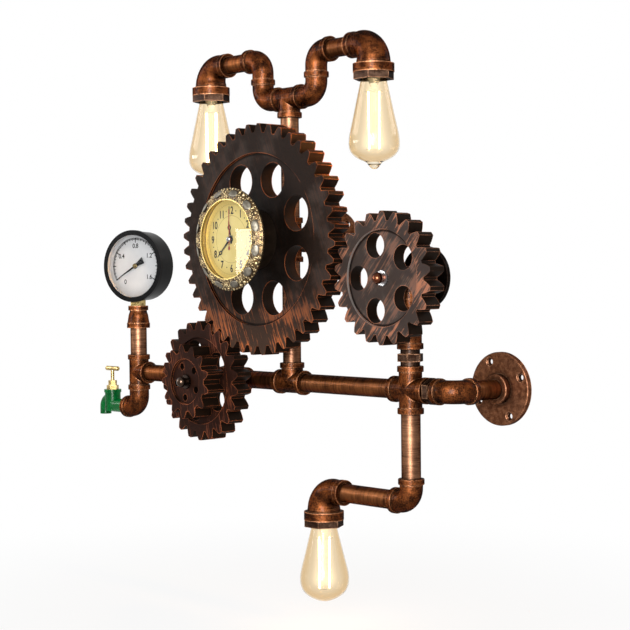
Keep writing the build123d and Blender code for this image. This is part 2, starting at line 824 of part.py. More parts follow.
# Gear train: the big gear turns two alike gears, and the left one carries a pinion
small_tooth_width = math.pi * module - big_tooth_width - backlash
big_teeth_values = (big_teeth, big_addendum, small_addendum + root_clearance, big_tooth_width, big_gear_phase)
big_hole_values = (big_hole_circle, big_hole_radius, big_holes, 180 / big_holes)
save(gear_disc(post_at + FRONT * big_front, big_thickness, big_recess_radius, big_teeth_values,
               big_hole_values, hub_radius + running_gap), "big_gear")


def meshed_phase(direction):
    """Turn of a small gear whose centre lies in the given direction from the big gear's."""
    ratio = big_teeth / small_teeth
    return direction + 180 + 180 / small_teeth - (big_gear_phase - direction) * ratio


def small_gear(carrier, front, direction, hole_turn):
    """One of the two alike gears beside the big gear."""
    tooth_values = (small_teeth, small_addendum, big_addendum + root_clearance, small_tooth_width,
                    meshed_phase(direction))
    hole_values = (small_hole_circle, small_hole_radius, small_holes, hole_turn)
    return gear_disc(carrier + FRONT * front, small_thickness, small_recess_radius, tooth_values,
                     hole_values, axle_radius + running_gap)


small_hole_turn = 180 / small_holes
save(small_gear(column_at, right_front, -right_gear_angle, small_hole_turn), "right_gear")
save(small_gear(compound_at, left_front, 180 + left_gear_angle, small_hole_turn), "left_gear")

# Pinion, bolted on the web of the left gear
pinion_front = left_front + pinion_ahead
left_web = left_front - recess_depth
with BuildPart() as pinion:
    with BuildSketch(facing(compound_at + FRONT * pinion_front)):
        toothed_face(pinion_teeth, pinion_addendum, pinion_dedendum, pinion_tooth_width, pinion_phase)
    extrude(amount=left_web - pinion_front)
    with BuildSketch(facing(compound_at + FRONT * pinion_front)):
        Circle(pinion_recess_radius)
    extrude(amount=-recess_depth, mode=Mode.SUBTRACT)
    with BuildSketch(facing(compound_at + FRONT * pinion_front)):
        Circle(axle_radius + running_gap)
        with PolarLocations(pinion_hole_circle, small_holes, start_angle=pinion_hole_turn):
            Circle(pinion_hole_radius)
    extrude(amount=left_web - pinion_front, mode=Mode.SUBTRACT)
save(pinion.part, "pinion")

# Axles, washers and ball nuts of the two small gears
right_web_back = right_front - small_thickness + recess_depth
right_web_front = right_front - recess_depth
left_web_back = left_front - small_thickness + recess_depth
pinion_web = pinion_front - recess_depth
save(group([axle(column_at, right_web_back, right_web_front),
            axle(compound_at, left_web_back, pinion_web)]), "gear_axles")
washer_seats = [(column_at, right_web_front + end_play), (compound_at, pinion_web + end_play)]
save(group([washer(at, height) for at, height in washer_seats]), "axle_washers")
save(group([ball_nut(at, height + washer_thickness) for at, height in washer_seats]), "ball_nuts")

# Hub tube that carries the big gear and, in front of it, the clock
big_web_back = big_front - big_thickness + recess_depth
big_web_front = big_front - recess_depth
cup_back = big_web_front + end_play
cup_floor = cup_back + cup_base
cup_front = cup_back + cup_depth
save(turned(post_at, FRONT, [
    (bore_radius, elbow_reach - socket_depth), (pipe_radius, elbow_reach - socket_depth),
    (pipe_radius, elbow_reach), (hub_collar_radius, elbow_reach), (hub_collar_radius, big_web_back - end_play),
    (hub_radius, big_web_back - end_play), (hub_radius, cup_back), (hub_spigot_radius, cup_back),
    (hub_spigot_radius, cup_floor), (bore_radius, cup_floor)]), "hub_tube")
save(turned(post_at, FRONT, [
    (hub_spigot_radius + thread_gap, cup_back), (cup_radius, cup_back), (cup_radius, cup_front),
    (cup_radius - cup_wall, cup_front), (cup_radius - cup_wall, cup_floor),
    (hub_spigot_radius + thread_gap, cup_floor)]), "clock_cup")

# Clock: bezel with its back plate, dial, lens, movement and three hands
dial_back = cup_front + bezel_back
dial_front = dial_back + dial_thickness
bezel_front = cup_front + bezel_depth
lens_front = bezel_front - bezel_lip
lens_back = lens_front - lens_thickness
bezel_bore = dial_radius + dial_gap
bezel_mid = (bezel_bore + bezel_radius) / 2
save(turned(post_at, FRONT, [
    (cup_radius - cup_wall, cup_front), (bezel_mid, cup_front), (bezel_radius, cup_front + bezel_depth / 3),
    (bezel_radius, cup_front + bezel_depth / 2), (bezel_mid, bezel_front), (dial_radius - bezel_lip, bezel_front),
    (dial_radius - bezel_lip, lens_front), (bezel_bore, lens_front), (bezel_bore, dial_back),
    (cup_radius - cup_wall, dial_back)]), "clock_bezel")
arbor_hole = arbor_radius * 2
save(turned(post_at, FRONT, tube_outline(dial_radius, arbor_hole, dial_back, dial_front)), "clock_dial")
save(turned(post_at, FRONT, [(0, lens_back), (dial_radius, lens_back), (dial_radius, lens_front),
                             (0, lens_front)]), "clock_lens")

hand_levels = [dial_front + hand_spacing * (index + 0.5) for index in range(3)]
arbor_front = hand_levels[2] + hand_thickness
with BuildPart() as clock_movement:
    with BuildSketch(facing(post_at + FRONT * (dial_back - movement_depth))):
        RectangleRounded(movement_side, movement_side, movement_side / 10)
    extrude(amount=movement_depth)
    with BuildSketch(facing(post_at + FRONT * dial_back)):
        Circle(arbor_radius)
    extrude(amount=arbor_front - dial_back)
save(clock_movement.part, "clock_movement")


def clock_hand(level, angle, length, width, tail):
    """Tapering hand with a round boss on the arbor and a short tail."""
    boss = arbor_radius * 2
    centre = post_at + FRONT * level
    ahead = Vector(math.cos(math.radians(angle)), 0, math.sin(math.radians(angle)))
    with BuildPart() as hand:
        with BuildSketch(Plane(origin=centre, x_dir=ahead, z_dir=FRONT)):
            with BuildLine():
                Polyline((-tail, -width / 2), (length * hand_bulge, -width), (length, 0),
                         (length * hand_bulge, width), (-tail, width / 2), close=True)
            make_face()
            Circle(boss)
            Circle(arbor_radius + running_gap, mode=Mode.SUBTRACT)
        extrude(amount=hand_thickness)
    return hand.part


save(clock_hand(hand_levels[0], hour_angle, hour_length, hour_width, hour_tail), "hour_hand")
save(clock_hand(hand_levels[1], minute_angle, minute_length, minute_width, minute_tail), "minute_hand")
save(clock_hand(hand_levels[2], second_angle, second_length, second_width, second_tail), "second_hand")

# Reducer and pressure gauge on the left riser
riser_start = gauge_tee_at + UP * tee_reach
reducer_start = riser_start + UP * gauge_riser_exposed
reducer_top = reducer_start + UP * reducer_length
save(pipe(riser_start, UP, gauge_riser_exposed), "gauge_riser")
top_shoulder = reducer_length - reducer_top_width
stem_socket = gauge_stem_radius + thread_gap
save(turned(reducer_start, UP, [
    (socket_radius, 0), (reducer_band_od / 2, 0), (reducer_band_od / 2, band_width),
    (band_od / 2, band_width), (body_od / 2, top_shoulder - reducer_top_width),
    (reducer_neck_od / 2, top_shoulder - band_round * 2), (reducer_neck_od / 2, top_shoulder),
    (reducer_top_od / 2, top_shoulder), (reducer_top_od / 2, reducer_length), (stem_socket, reducer_length),
    (stem_socket, socket_depth + flange_seat), (bore_radius / 2, socket_depth + flange_seat),
    (bore_radius / 2, socket_depth), (socket_radius, socket_depth)]), "gauge_reducer")

gauge_front = Vector(math.sin(math.radians(gauge_turn)), -math.cos(math.radians(gauge_turn)), 0)
gauge_at = reducer_top + UP * (gauge_neck + gauge_radius)
gauge_x = Vector(-gauge_front.Y, gauge_front.X, 0)
case_back = gauge_ahead - gauge_depth
case_bore = gauge_radius - gauge_wall
gauge_dial_front = gauge_ahead - gauge_dial_depth
gauge_dial_back = gauge_dial_front - dial_thickness
gauge_lens_front = gauge_ahead - gauge_lens_depth
gauge_lens_back = gauge_lens_front - gauge_lens_thickness
dial_seat = case_bore - gauge_back
stem_hole = gauge_stem_flats / 2 + thread_gap
stem_shoulder = case_bore + gauge_back / 2

with BuildPart() as gauge_case:
    add(turned(gauge_at, gauge_front, [
        (0, case_back), (gauge_radius - gauge_back, case_back), (gauge_radius - gauge_back / 2, gauge_lens_back),
        (gauge_radius, gauge_lens_back), (gauge_radius, gauge_ahead), (case_bore - gauge_back, gauge_ahead),
        (case_bore - gauge_back, gauge_lens_front), (case_bore, gauge_lens_front), (case_bore, gauge_dial_back),
        (dial_seat, gauge_dial_back), (dial_seat, case_back + gauge_back), (0, case_back + gauge_back)]))
    with BuildSketch(Plane(origin=gauge_at + DOWN * stem_shoulder, x_dir=gauge_x, z_dir=DOWN)):
        Rectangle(2 * stem_hole, 2 * stem_hole)
    extrude(amount=gauge_radius - stem_shoulder, mode=Mode.SUBTRACT)
    with BuildSketch(Plane(origin=gauge_at + DOWN * stem_shoulder, z_dir=UP)):
        Circle(gauge_pipe_radius + thread_gap)
    extrude(amount=gauge_pipe_reach, mode=Mode.SUBTRACT)
save(gauge_case.part, "gauge_case")

with BuildPart() as gauge_stem:
    with BuildSketch(Plane(origin=gauge_at + DOWN * stem_shoulder, x_dir=gauge_x, z_dir=DOWN)):
        Rectangle(gauge_stem_flats, gauge_stem_flats)
    extrude(amount=gauge_radius + gauge_neck - stem_shoulder)
    with BuildSketch(Plane(origin=reducer_top, z_dir=DOWN)):
        Circle(gauge_stem_radius)
    extrude(amount=socket_depth)
    with BuildSketch(Plane(origin=gauge_at + DOWN * stem_shoulder, z_dir=UP)):
        Circle(gauge_pipe_radius)
    extrude(amount=gauge_pipe_reach)
save(gauge_stem.part, "gauge_stem")

gauge_arbor_front = gauge_dial_front + hand_spacing + hand_thickness * 2
with BuildPart() as gauge_movement:
    with BuildSketch(Plane(origin=gauge_at + gauge_front * (case_back + gauge_back), x_dir=gauge_x,
                           z_dir=gauge_front)):
        Rectangle(movement_side, movement_side / 2)
    extrude(amount=gauge_dial_back - case_back - gauge_back)
    with BuildSketch(Plane(origin=gauge_at + gauge_front * gauge_dial_back, x_dir=gauge_x, z_dir=gauge_front)):
        Circle(gauge_arbor_radius)
    extrude(amount=gauge_arbor_front - gauge_dial_back)
save(gauge_movement.part, "gauge_movement")
save(turned(gauge_at, gauge_front, tube_outline(case_bore - dial_gap, gauge_arbor_radius * 2, gauge_dial_back,
                                                gauge_dial_front)), "gauge_dial")
save(turned(gauge_at, gauge_front, [
    (0, gauge_lens_back), (case_bore - dial_gap, gauge_lens_back), (case_bore - dial_gap, gauge_lens_front),
    (0, gauge_lens_front)]), "gauge_lens")

zero = math.radians(gauge_zero_angle)
pointer_ahead = gauge_x * math.cos(zero) + UP * math.sin(zero)
with BuildPart() as gauge_pointer:
    with BuildSketch(Plane(origin=gauge_at + gauge_front * (gauge_dial_front + hand_spacing),
                           x_dir=pointer_ahead, z_dir=gauge_front)):
        with BuildLine():
            Polyline((0, -pointer_waist), (gauge_pointer_length, -pointer_tip), (gauge_pointer_length, pointer_tip),
                     (0, pointer_waist), (-gauge_pointer_tail, pointer_fan), (-gauge_pointer_tail, -pointer_fan),
                     close=True)
        make_face()
        Circle(gauge_arbor_radius * 3)
        Circle(gauge_arbor_radius + running_gap, mode=Mode.SUBTRACT)
    extrude(amount=hand_thickness)
save(gauge_pointer.part, "gauge_pointer")

# Garden tap screwed into the street elbow under the gauge tee
seat_level = tap_bore + tap_seat_wall
spout_level = UP * (seat_level + tap_spout_rise)
spout_corner = tap_at + LEFT * tap_spout_out + spout_level
spout_end = tap_at + LEFT * tap_spout_out + DOWN * tap_spout_drop
with BuildPart() as tap_body:
    with BuildSketch(Plane(origin=tap_at + DOWN * tap_floor, z_dir=UP)):
        Circle(tap_barrel_radius)
    extrude(amount=tap_floor + tap_top)
    with BuildSketch(Plane(origin=tap_at + UP * tap_top, z_dir=DOWN)):
        Circle(tap_rim_radius)
    extrude(amount=tap_rim_height)
    with BuildSketch(Plane(origin=tap_at, z_dir=RIGHT)):
        Circle(tap_inlet_radius)
    extrude(amount=tap_reach)
    with BuildLine() as spout:
        FilletPolyline(tap_at + spout_level, spout_corner, spout_end, radius=tap_spout_bend)
    with BuildSketch(Plane(origin=tap_at + spout_level, z_dir=LEFT)):
        Circle(tap_spout_radius)
    sweep(path=spout.line)
    with BuildSketch(Plane(origin=tap_at + RIGHT * tap_reach, z_dir=RIGHT)):
        Circle(pipe_radius)
    extrude(amount=socket_depth)
    with BuildSketch(Plane(origin=tap_at, z_dir=RIGHT)):
        Circle(tap_bore)
    extrude(amount=tap_reach + socket_depth, mode=Mode.SUBTRACT)
    with BuildSketch(Plane(origin=tap_at, z_dir=UP)):
        Circle(tap_bore)
    extrude(amount=seat_level, mode=Mode.SUBTRACT)
    with BuildSketch(Plane(origin=tap_at + UP * seat_level, z_dir=UP)):
        Circle(tap_chamber_radius)
    extrude(amount=tap_top - seat_level, mode=Mode.SUBTRACT)
    with BuildSketch(Plane(origin=tap_at + spout_level, z_dir=LEFT)):
        Circle(tap_spout_radius - tap_spout_wall)
    sweep(path=spout.line, mode=Mode.SUBTRACT)
save(tap_body.part, "tap_body")

# Headgear of the tap: bonnet with its gland, spindle with its bar handle, and the jumper on the seat
bonnet_top = tap_top + bonnet_height + gland_height
spigot_foot = tap_top - bonnet_spigot
spindle_foot = spigot_foot - end_play - spindle_collar_height
stem_bore = tap_stem_radius + running_gap
with BuildPart() as tap_bonnet:
    with BuildSketch(Plane(origin=tap_at + UP * spigot_foot, z_dir=UP)):
        Circle(tap_chamber_radius - thread_gap)
    extrude(amount=bonnet_spigot)
    with BuildSketch(Plane(origin=tap_at + UP * tap_top, z_dir=UP)):
        RegularPolygon(bonnet_flats / 2, 6, major_radius=False)
    extrude(amount=bonnet_height)
    with BuildSketch(Plane(origin=tap_at + UP * (tap_top + bonnet_height), z_dir=UP)):
        RegularPolygon(gland_flats / 2, 6, major_radius=False)
    extrude(amount=gland_height)
    with BuildSketch(Plane(origin=tap_at + UP * spigot_foot, z_dir=UP)):
        Circle(stem_bore)
    extrude(amount=bonnet_top - spigot_foot, mode=Mode.SUBTRACT)
save(tap_bonnet.part, "tap_bonnet")

jumper_top = seat_level + jumper_height
pin_top = spindle_foot + jumper_pin_reach
with BuildPart() as tap_spindle:
    with BuildSketch(Plane(origin=tap_at + UP * spindle_foot, z_dir=UP)):
        Circle(spindle_collar_radius)
    extrude(amount=spindle_collar_height)
    with BuildSketch(Plane(origin=tap_at + UP * spindle_foot, z_dir=UP)):
        Circle(tap_stem_radius)
    extrude(amount=tap_bar_height - spindle_foot)
    with BuildSketch(Plane(origin=tap_at + UP * tap_bar_height + LEFT * tap_bar_length / 2, z_dir=RIGHT)):
        Circle(tap_bar_radius)
    extrude(amount=tap_bar_length)
    bar_ends = tap_spindle.edges().filter_by(GeomType.CIRCLE).filter_by(
        lambda rim: abs(rim.radius - tap_bar_radius) < 0.01)
    fillet(bar_ends, radius=tap_bar_round)
    with BuildSketch(Plane(origin=tap_at + UP * spindle_foot, z_dir=UP)):
        Circle(jumper_pin_radius + running_gap)
    extrude(amount=jumper_pin_reach + jumper_travel + end_play, mode=Mode.SUBTRACT)
save(tap_spindle.part, "tap_spindle")
save(turned(tap_at, UP, [
    (0, seat_level), (jumper_radius, seat_level), (jumper_radius, jumper_top), (jumper_pin_radius, jumper_top),
    (jumper_pin_radius, pin_top), (0, pin_top)]), "tap_jumper")
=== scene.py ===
# %% [markdown]
# # Wall sconce of pipe, gears and lamps
# The packed model already has every pipe, fitting, gear, lamp, clock part and tap in its place. This
# notebook gives those pieces their finishes, and adds the small forms that only the eye needs: the relief
# on the clock's bezel, the numbers and marks on the two dials, and hands with loops. Blender counts in
# metres, in the model's own frame: +X runs along the wall, +Y goes into it and +Z is up.

# %% Frame
import math
import random

import bmesh
import bpy
from mathutils import Matrix, Vector


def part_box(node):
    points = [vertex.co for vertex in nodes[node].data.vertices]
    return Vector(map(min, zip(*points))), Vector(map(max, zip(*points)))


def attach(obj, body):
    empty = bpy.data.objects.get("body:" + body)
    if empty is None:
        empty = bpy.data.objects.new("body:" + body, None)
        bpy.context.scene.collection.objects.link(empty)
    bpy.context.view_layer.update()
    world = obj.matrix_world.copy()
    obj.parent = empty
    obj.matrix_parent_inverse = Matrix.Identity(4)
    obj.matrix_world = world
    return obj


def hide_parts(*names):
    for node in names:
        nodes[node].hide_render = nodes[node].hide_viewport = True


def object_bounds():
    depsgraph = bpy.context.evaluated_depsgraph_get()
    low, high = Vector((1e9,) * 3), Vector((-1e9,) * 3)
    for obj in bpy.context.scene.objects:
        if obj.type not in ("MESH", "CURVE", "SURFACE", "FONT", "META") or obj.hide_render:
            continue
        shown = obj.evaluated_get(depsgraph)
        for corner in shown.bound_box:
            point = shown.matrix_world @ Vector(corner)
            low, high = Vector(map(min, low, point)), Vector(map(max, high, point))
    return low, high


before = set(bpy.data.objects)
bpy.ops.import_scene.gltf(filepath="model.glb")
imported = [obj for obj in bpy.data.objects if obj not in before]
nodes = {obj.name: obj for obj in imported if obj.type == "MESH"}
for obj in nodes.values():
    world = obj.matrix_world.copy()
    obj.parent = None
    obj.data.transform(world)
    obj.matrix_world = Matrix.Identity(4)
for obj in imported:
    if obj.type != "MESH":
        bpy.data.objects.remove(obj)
cad_box = [list(corner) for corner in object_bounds()]
print("loaded", len(nodes), "nodes, box", cad_box)

# %% [markdown]
# ## Places
# Finishes and marks need a few centres. A gear is round, so the middle of its box is its hub, and reading
# the box is safer than typing the number again. The clock sits on the big gear's hub and is measured from
# the plane of the pipes. The gauge is turned a little to the right, which a box can't tell, so its centre
# and its turn are the model's own numbers. Small sizes are written in millimetres, times MM.

# %% Places
MM = 0.001
front = Vector((0, -1, 0))
pipe_plane = -77 * MM
gauge_centre = Vector((-0.556924, pipe_plane, 0.139))
gauge_turn = math.radians(16)
gauge_front = Vector((math.sin(gauge_turn), -math.cos(gauge_turn), 0))


def hub_of(gear):
    """The middle of a gear's front."""
    low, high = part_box(gear)
    return Vector(((low.x + high.x) / 2, low.y, (low.z + high.z) / 2))


big_gear_hub, right_gear_hub = hub_of("big_gear"), hub_of("right_gear")
clock_centre = Vector((big_gear_hub.x, pipe_plane, big_gear_hub.z))
print("clock centre", [round(c, 4) for c in clock_centre])

# %% [markdown]
# ## Camera
# The photograph was taken from the right and a little below the middle of the clock. The camera's place,
# heading and focal length were worked out from the straight pipes and round flanges, so the render can be
# laid over the photograph.

# %% Camera
photo_width = 630
focal_pixels = 1542.58
eye = Vector((1.0874, -1.28207, 0.12553))
heading, pitch, roll = (math.radians(turn) for turn in (47.23, -1.5, -0.57))
ahead = Vector((-math.sin(heading) * math.cos(pitch), math.cos(heading) * math.cos(pitch), math.sin(pitch)))
sideways = Vector((math.cos(heading), math.sin(heading), 0))
upward = sideways.cross(ahead)
camera_right = sideways * math.cos(roll) + upward * math.sin(roll)
camera_up = upward * math.cos(roll) - sideways * math.sin(roll)

camera = bpy.data.objects.new("camera", bpy.data.cameras.new("camera"))
camera.data.sensor_width = 36
camera.data.lens = focal_pixels * camera.data.sensor_width / photo_width
turned = Matrix((camera_right, camera_up, -ahead)).transposed().to_4x4()
camera.matrix_world = Matrix.Translation(eye) @ turned
bpy.context.collection.objects.link(camera)
bpy.context.scene.camera = camera
bpy.context.scene.view_settings.view_transform = "Standard"
print("camera lens", round(camera.data.lens, 2), "mm")

# %% [markdown]
# ## Writing finishes as sums
# A finish is a small sum: some cloudiness, plus rubbed edges, minus dirt and painted shade in the corners.
# Linking Math nodes by hand hides that, so one class wraps a socket and lets Python's operators add the
# nodes.

# %% Shader values
class Value:
    """A socket that takes part in arithmetic."""

    def __init__(self, tree, socket):
        self.tree, self.socket = tree, socket

    def sum(self, operation, first, second):
        return self.tree.node("ShaderNodeMath", {"operation": operation}, {0: first, 1: second})

    def __add__(self, other):
        return self.sum("ADD", self, other)

    def __radd__(self, other):
        return self.sum("ADD", other, self)

    def __sub__(self, other):
        return self.sum("SUBTRACT", self, other)

    def __rsub__(self, other):
        return self.sum("SUBTRACT", other, self)

    def __mul__(self, other):
        return self.sum("MULTIPLY", self, other)

    def __rmul__(self, other):
        return self.sum("MULTIPLY", other, self)

    def ease(self, low, high):
        """0 below low, 1 above high, and smooth between them."""
        return self.tree.node("ShaderNodeMapRange", {"interpolation_type": "SMOOTHSTEP"},
                              {"Value": self, "From Min": low, "From Max": high})


print("values add, subtract and multiply")

# %% [markdown]
# Every other node comes from the one method `node`, with its settings first and its sockets after them. A
# Math node would turn a colour grey, so colours go through a mix, and two vectors give a number through a
# measure.

# %% Node trees
class NodeTree:
    """The nodes of one material, or of the world."""

    def __init__(self, owner):
        owner.use_nodes = True
        self.owner = owner
        self.nodes, self.links = owner.node_tree.nodes, owner.node_tree.links
        self.nodes.clear()

    def node(self, kind, settings, sockets, out=0):
        """A node of any kind. What comes back is one of its outputs, if it has any."""
        made = self.nodes.new(kind)
        for key, value in settings.items():
            setattr(made, key, value)
        for key, value in sockets.items():
            if isinstance(value, Value):
                self.links.new(value.socket, made.inputs[key])
            else:
                made.inputs[key].default_value = value
        return Value(self, made.outputs[out]) if made.outputs else None

    def mix(self, share, first, second):
        """A colour between two colours."""
        return self.node("ShaderNodeMix", {"data_type": "RGBA"}, {0: share, 6: first, 7: second}, out=2)

    def measure(self, operation, first, second):
        """A number that two vectors give."""
        return self.node("ShaderNodeVectorMath", {"operation": operation}, {0: first, 1: second},
                         out="Value")

    def bump(self, height, distance, strength):
        return self.node("ShaderNodeBump", {},
                         {"Strength": strength, "Distance": distance, "Height": height})

    def principled(self, **sockets):
        named = {key.replace("_", " "): value for key, value in sockets.items()}
        return self.node("ShaderNodeBsdfPrincipled", {}, named)

    def show(self, shader):
        """Put a shader on the surface, and give back the finished material or world."""
        kind = "World" if isinstance(self.owner, bpy.types.World) else "Material"
        self.node("ShaderNodeOutput" + kind, {}, {"Surface": shader})
        return self.owner


print("tree methods:", [name for name in vars(NodeTree) if name[0] != "_"])

# %% [markdown]
# A finisher looks at where a point is, which way its surface faces, how cloudy it is, which edges a hand
# rubs and which corners keep dirt and painted shade. Maps painted by hand could say the same, but they
# need unwrapping.
# These rules follow any shape and keep their real size on every piece.

# %% Finishes
class Finish(NodeTree):
    """A node tree with a finisher's eye."""

    def place(self):
        return self.node("ShaderNodeTexCoord", {}, {}, out="Object")

    def normal(self):
        return self.node("ShaderNodeNewGeometry", {}, {}, out="Normal")

    def along(self, direction):
        """How far a point lies along a direction, in metres."""
        return self.measure("DOT_PRODUCT", self.place(), direction)

    def distance(self, point):
        """How far the surface is from a point, in metres."""
        return self.measure("DISTANCE", self.place(), point)

    def faces(self, direction):
        """1 where the surface faces a direction, 0 at right angles to it."""
        return self.measure("DOT_PRODUCT", self.normal(), direction)

    def inner_wall(self, centre, outward, radius):
        """1 on the walls of a round well, 0 on what faces outward or lies beyond the radius."""
        near = 1 - self.distance(centre).ease(radius - 0.5 * MM, radius + 0.5 * MM)
        return near * (1 - self.faces(outward).ease(0.3, 0.6))

    def cloud(self, size, turn=(0, 0, 0), detail=3, roughness=0.55):
        """Noise whose lumps have a size in metres along each axis, after a turn."""
        laid = self.node("ShaderNodeMapping", {"vector_type": "TEXTURE"},
                         {"Vector": self.place(), "Rotation": turn, "Scale": size})
        return self.node("ShaderNodeTexNoise", {},
                         {"Vector": laid, "Scale": 1.0, "Detail": detail, "Roughness": roughness})

    def mottle(self, size, detail=3):
        """Noise with round lumps of one size."""
        return self.cloud((size, size, size), detail=detail)

    def edges(self, radius):
        """1 on edges that a hand would rub, 0 on open surfaces."""
        rounded = self.node("ShaderNodeBevel", {"samples": 6}, {"Radius": radius})
        return (1 - self.measure("DOT_PRODUCT", rounded, self.normal())).ease(0.01, 0.16)

    def hollows(self, reach):
        """1 in corners, where dirt stays and shade is painted, 0 on open surfaces."""
        return 1 - self.node("ShaderNodeAmbientOcclusion", {"samples": 6}, {"Distance": reach}, out="AO")

    def ray(self, kind):
        return self.node("ShaderNodeLightPath", {}, {}, out=kind)

    def seen(self):
        """1 where the camera, a gloss or a glass looks, 0 on rays that only bring light."""
        looks = self.ray("Is Camera Ray") + self.ray("Is Glossy Ray") + self.ray("Is Transmission Ray")
        return looks.ease(0, 1)


print("finish methods:", [name for name in vars(Finish) if name[0] != "_"])

# %% [markdown]
# Colours are written as they look on a screen, from 0 to 255, because that is how they were matched to a
# photograph. Blender mixes light, so each one is turned into linear light first. Dressing a node only
# fills its material slot: its mesh stays as the model made it.

# %% Paint, tones and dressing
undressed = set(nodes)


def paint(name):
    return Finish(bpy.data.materials.new(name))


def tone(red, green, blue):
    """A screen colour as linear light."""
    parts = [c / 255 for c in (red, green, blue)]
    return tuple(c / 12.92 if c <= 0.04045 else ((c + 0.055) / 1.055) ** 2.4 for c in parts) + (1.0,)


def dress(finish, *names):
    """Give nodes of the model a finish."""
    for name in names:
        nodes[name].data.materials.clear()
        nodes[name].data.materials.append(finish)
    undressed.difference_update(names)
    print(finish.name, "is on", ", ".join(names))


print(len(undressed), "nodes to dress")

# %% [markdown]
# ## Light and floor
# A product photograph on white has large soft lights and no visible room. A bright white room would wash
# out the dark copper, so the world is white only where the camera, a gloss or a glass looks at it, and a
# weak grey where it lights the object.

# %% World
white = (1, 1, 1, 1)
studio = bpy.data.worlds.new("studio")
bpy.context.scene.world = studio
sky = Finish(studio)
white_sky = sky.node("ShaderNodeBackground", {}, {"Color": white, "Strength": 1.0})
soft_sky = sky.node("ShaderNodeBackground", {}, {"Color": (0.96, 0.98, 1, 1), "Strength": 0.32})
sky.show(sky.node("ShaderNodeMixShader", {}, {0: sky.seen(), 1: soft_sky, 2: white_sky}))
print("world", studio.name)

# %% [markdown]
# Metal shows what it mirrors. Panels give the plain light, the largest of them near the camera. Strips
# that only a gloss can see draw the long highlights on the pipes, and put no more light on the paint. The
# card is the bright window that shines in the clock's glass.

# %% Softboxes
def softbox(name, stand, aim, width, height, power, gloss_only=False):
    """A rectangle of light that looks at a point."""
    lamp = bpy.data.lights.new(name, "AREA")
    lamp.shape, lamp.size, lamp.size_y, lamp.energy = "RECTANGLE", width, height, power
    panel = bpy.data.objects.new(name, lamp)
    panel.visible_diffuse = not gloss_only
    turn = (Vector(aim) - Vector(stand)).to_track_quat("-Z", "Y").to_matrix().to_4x4()
    panel.matrix_world = Matrix.Translation(stand) @ turn
    bpy.context.collection.objects.link(panel)
    print(name, power, "W")


middle, clock_glass = (-0.29, -0.09, 0.12), (-0.2556, -0.174, 0.1663)
softbox("key_panel", (0.92, -1.38, 0.30), middle, 0.60, 1.20, 20)
softbox("upright_strip", (0.80, -1.45, 0.30), middle, 0.60, 1.20, 105, gloss_only=True)
softbox("level_panel", (-1.50, -0.95, 0.90), middle, 1.0, 0.40, 7)
softbox("level_strip", (-1.55, -1.20, 0.45), middle, 1.2, 0.16, 13, gloss_only=True)
softbox("low_panel", (-1.60, -1.45, -0.45), middle, 0.80, 0.50, 5)
softbox("window_card", (-1.747, -1.504, 0.182), clock_glass, 0.11, 0.11, 0.5, gloss_only=True)
softbox("back_softbox", (0.6, 1.6, 1.0), middle, 1.0, 0.6, 8)

# %% [markdown]
# The floor is white paper. It glows where it is seen, so that it joins the white world, but a share of
# real paper stays in it near the sconce and keeps the shadow.

# %% Floor
floor_level, floor_reach = cad_box[0][2] - 30 * MM, 4
floor_sides = ((-1, -1), (1, -1), (1, 1), (-1, 1))
floor_corners = [(x * floor_reach, y * floor_reach, floor_level) for x, y in floor_sides]
floor_mesh = bpy.data.meshes.new("floor")
floor_mesh.from_pydata(floor_corners, [], [(0, 1, 2, 3)])
floor = bpy.data.objects.new("floor", floor_mesh)
bpy.context.collection.objects.link(floor)

cover = paint("white_floor")
far = cover.distance((middle[0], middle[1], floor_level)).ease(0.15, 0.8)
paper = cover.node("ShaderNodeBsdfDiffuse", {}, {"Color": (0.9, 0.9, 0.9, 1)})
bright = cover.node("ShaderNodeEmission", {}, {"Color": white, "Strength": 1.0})
white_share = cover.seen() * (0.85 + far * 0.15)
glowing_paper = cover.node("ShaderNodeMixShader", {}, {0: white_share, 1: paper, 2: bright})
floor_mesh.materials.append(cover.show(glowing_paper))
print("floor at", round(floor_level, 3))

# %% [markdown]
# ## Antique copper
# The pipework is steel with a black coat, copper rubbed over it and a clear lacquer. The copper stays on
# rims and open surfaces, and the black stays in corners, which are darkened further as painted shade. The
# rims come from a bevel normal, the corners from ambient occlusion, and the cloudiness from noise in real
# sizes. At a grazing look the old copper stays dark, which the tint of its specular gives.

# %% Fittings
# The two values below darken corners: the black coat left there, and painted shade.
dirt_and_shade_black = tone(16, 7, 3)
dirt_and_shade_cover = 0.92
grazing_copper = (0.10, 0.05, 0.03, 1)


def antique_fitting(name, dark, copper, rim, blotch=12 * MM):
    coat = paint(name)
    lumps, speck = coat.mottle(blotch, detail=4), coat.mottle(1.0 * MM)
    wear = coat.edges(2.2 * MM) * speck.ease(0.30, 0.62)
    # Ambient occlusion: dirt in the corners, and painted shade there.
    dirt_and_shade = coat.hollows(9 * MM).ease(0.10, 0.50)
    colour = coat.mix((lumps * 0.6 + speck * 0.8).ease(0.58, 0.90), dark, copper)
    colour = coat.mix(wear, colour, rim)
    colour = coat.mix(dirt_and_shade * dirt_and_shade_cover, colour, dirt_and_shade_black)
    return coat.show(coat.principled(
        Base_Color=colour, Metallic=1.0, Roughness=0.36 + speck * 0.26, Specular_Tint=grazing_copper,
        Coat_Weight=0.05, Coat_Roughness=0.2, Normal=coat.bump(speck + lumps * 0.5, 0.6 * MM, 0.5)))


